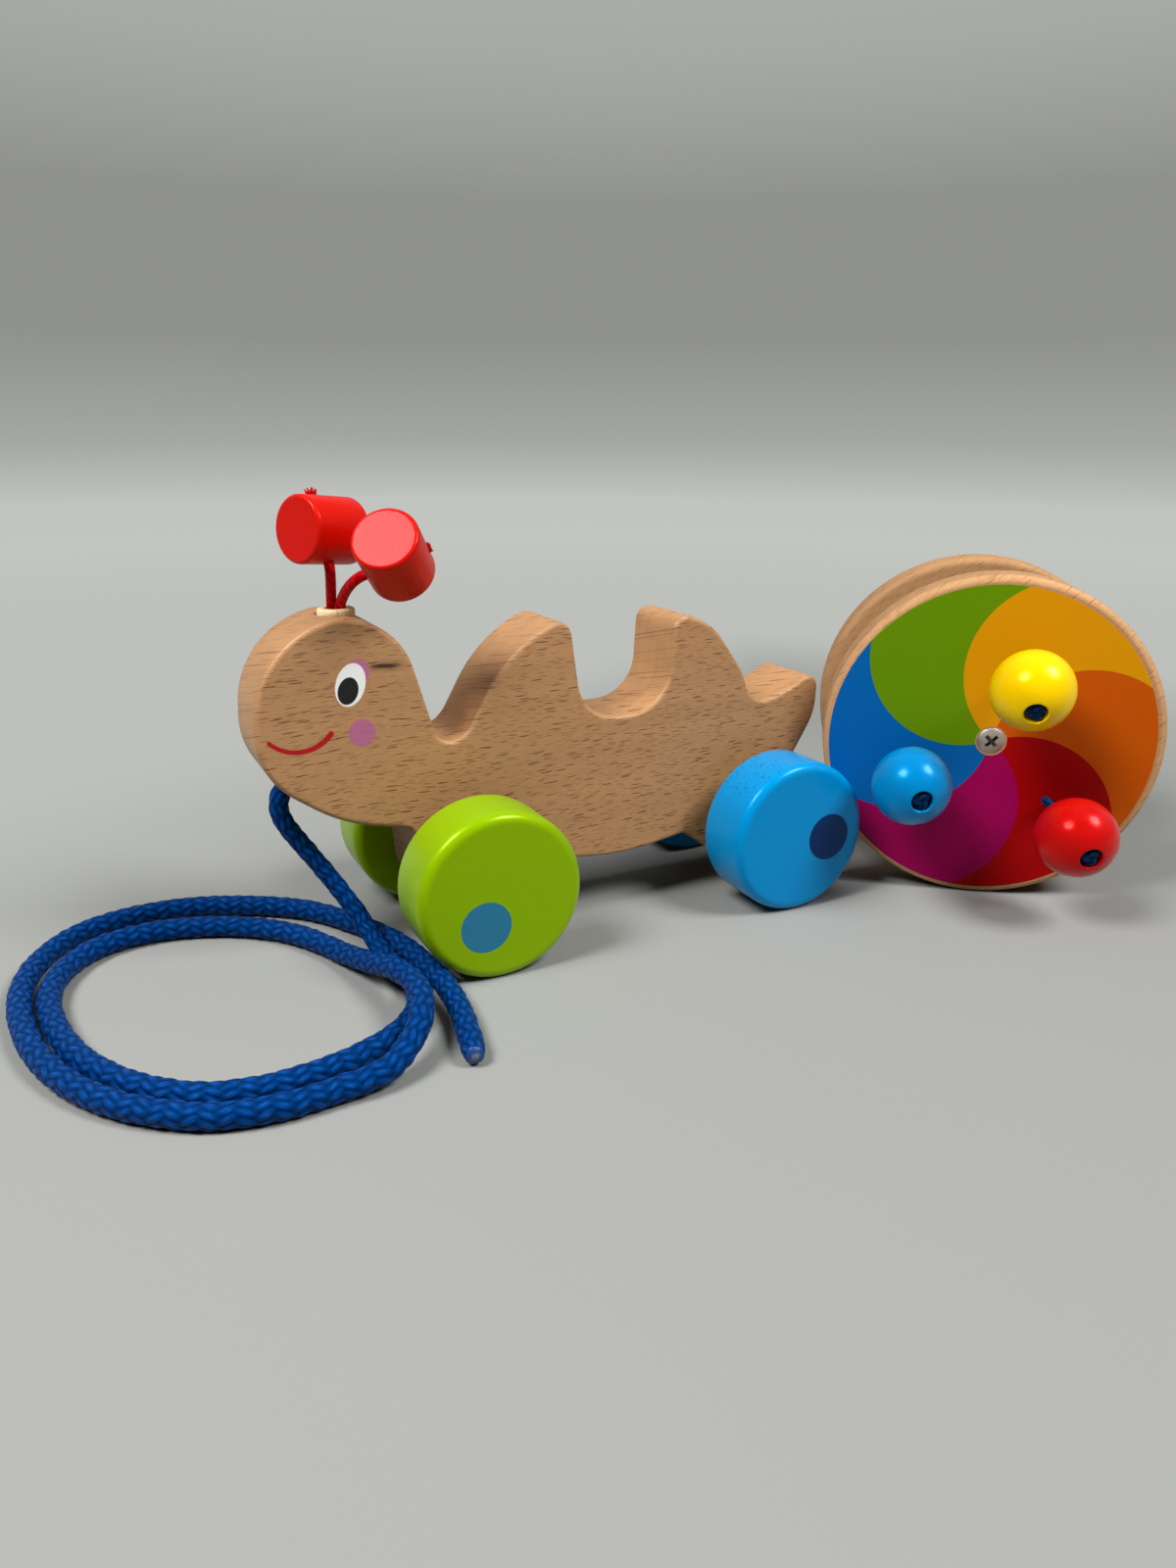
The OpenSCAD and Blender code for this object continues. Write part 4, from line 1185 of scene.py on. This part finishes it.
class PULLTOY_OT_hub(bpy.types.Operator):
    """Turns the hub between the discs"""
    bl_idname = "pulltoy.hub"
    bl_label = "Shell hub"

    def execute(self, context):
        colours = context.scene.pull_toy_colours
        low, high = DISC_T + 0.3, SHELL_LEN - DISC_T - 0.3
        deep, radius, bore = SCREW_L - DISC_T + 0.3, HUB_D / 2, SCREW_D / 2 + 0.02
        bm = turned([(0, low + deep), (bore, low + deep), (bore, low), (radius - 1.2, low),
                     (radius, low), (radius, high), (radius - 1.2, high), (bore, high),
                     (bore, high - deep), (0, high - deep)], radius, (low, high), 0.8 * MM, 4, 96)
        moved(bm, SHELL @ TURN_TO_Y)
        finish = wood("hub_wood", colours, SHELL @ rotated(90, "Z"))
        piece(bm, "hub", finish, "shell_core", "beech", "shell_hub")
        return {"FINISHED"}


class PULLTOY_OT_screws(bpy.types.Operator):
    """Drives a countersunk screw into the middle of each disc"""
    bl_idname = "pulltoy.screws"
    bl_label = "Screws"

    def execute(self, context):
        colours = context.scene.pull_toy_colours
        for name, side in (("front", NEAR), ("back", FAR)):
            middle, outwards = shell_end(side)
            bm = moved(cross_screw(), outwards @ TURN_TO_Y)
            finish = zinc(colours, middle, side)
            piece(bm, "screw_" + name, finish, "shell_core", "zinc", "shell_screw_" + name)
        return {"FINISHED"}


class PULLTOY_OT_beads(bpy.types.Operator):
    """Turns and lacquers the three beads"""
    bl_idname = "pulltoy.beads"
    bl_label = "Beads"

    def execute(self, context):
        sizes, colours = sizes_and_colours(context)
        slots = {"yellow": "yellow_lacquer", "blue": "bright_blue_lacquer",
                 "red": "bead_red_lacquer"}
        for bead, slot in slots.items():
            middle = (bead_frame(bead) @ shift(0, -BEADS[bead][1], 0)).translation
            finish = lacquer(slot, getattr(colours, "bead_" + bead), Matrix.Translation(middle),
                             gloss=0.26, pits=(0.10, (0, 0, 0), 40.0))
            piece(round_bead(bead, sizes.hole_lip), "turned_bead_" + bead, finish, bead + "_bead",
                  slot, "bead_" + bead)
        return {"FINISHED"}


class PULLTOY_OT_strings(bpy.types.Operator):
    """Ties each bead to the front disc with a knotted string"""
    bl_idname = "pulltoy.strings"
    bl_label = "Strings"

    def execute(self, context):
        sizes, colours = sizes_and_colours(context)
        finish = yarn("string", colours.string, TWIST_STRANDS, STRING_PITCH, False, 0.06, 0.3)
        for bead in BEADS:
            piece(bead_cord(bead, sizes.string_relief), "string_" + bead, finish, bead + "_bead",
                  "navy_string", "bead_string_" + bead, sharp=180)
        return {"FINISHED"}


class PULLTOY_OT_stage(bpy.types.Operator):
    """Sets the toy on a pale sweep under soft lamps"""
    bl_idname = "pulltoy.stage"
    bl_label = "Stage"

    def execute(self, context):
        scene = context.scene
        bm = lathe([(0, 0), (600, 0), (2400, 0), (2400, 2200)], 96)
        soften(bm, ring(bm, 2400, 0), 0.9, 16)
        bmesh.ops.reverse_faces(bm, faces=bm.faces)
        sweep = smooth_object(bm, "sweep", paper(scene.pull_toy_colours.floor))
        aim = Vector((0.0, 0.0, 0.05))
        lamps = (
            ("left", (-0.611, -0.132, 0.779), 0.84, 0.35, 1.18),
            ("right", (0.40, -0.52, 0.753), 1.17, 0.45, 1.02),
            ("top", (0.0, 0.2, 1.0), 1.6, 2.2, 0.16),
        )
        for name, way, reach, size, level in lamps:
            data = bpy.data.lights.new("lamp_" + name, "AREA")
            data.shape, data.size = "DISK", size
            data.energy = level * (math.pi * reach) ** 2
            lamp = add_object("lamp_" + name, data)
            away = Vector(way).normalized()
            lamp.matrix_world = (Matrix.Translation(aim + away * reach)
                                 @ away.to_track_quat("Z", "Y").to_matrix().to_4x4())
            lamp.visible_camera = False
        world = bpy.data.worlds.new("room")
        world.use_nodes = True
        background = world.node_tree.nodes["Background"].inputs
        background["Color"].default_value = (1.0, 1.0, 1.0, 1.0)
        background["Strength"].default_value = 0.03
        scene.world = world
        scene.view_settings.view_transform = "Standard"
        return {"FINISHED"}


OPERATORS = (
    PULLTOY_OT_camera, PULLTOY_OT_pull_cord, PULLTOY_OT_body, PULLTOY_OT_axles,
    PULLTOY_OT_wheels, PULLTOY_OT_plug, PULLTOY_OT_feelers, PULLTOY_OT_discs, PULLTOY_OT_hub,
    PULLTOY_OT_screws, PULLTOY_OT_beads, PULLTOY_OT_strings, PULLTOY_OT_stage,
)


class PULLTOY_PT_panel(bpy.types.Panel):
    """Lists the toy's pieces and their sizes and colours"""
    bl_idname = "PULLTOY_PT_panel"
    bl_label = "Pull Toy"
    bl_space_type = "VIEW_3D"
    bl_region_type = "UI"
    bl_category = "Pull Toy"

    def draw(self, context):
        for operator in OPERATORS:
            self.layout.operator(operator.bl_idname)
        for group in (context.scene.pull_toy_sizes, context.scene.pull_toy_colours):
            box = self.layout.box()
            for name in group.__annotations__:
                box.prop(group, name)


CLASSES = (PullToySizes, PullToyColours) + OPERATORS + (PULLTOY_PT_panel,)


def register():
    for cls in CLASSES:
        bpy.utils.register_class(cls)
    bpy.types.Scene.pull_toy_sizes = PointerProperty(type=PullToySizes)
    bpy.types.Scene.pull_toy_colours = PointerProperty(type=PullToyColours)


def unregister():
    del bpy.types.Scene.pull_toy_sizes
    del bpy.types.Scene.pull_toy_colours
    for cls in reversed(CLASSES):
        bpy.utils.unregister_class(cls)


def main():
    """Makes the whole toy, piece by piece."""
    register()
    for operator in OPERATORS:
        group, name = operator.bl_idname.split(".")
        getattr(getattr(bpy.ops, group), name)()


if __name__ == "__main__":
    main()
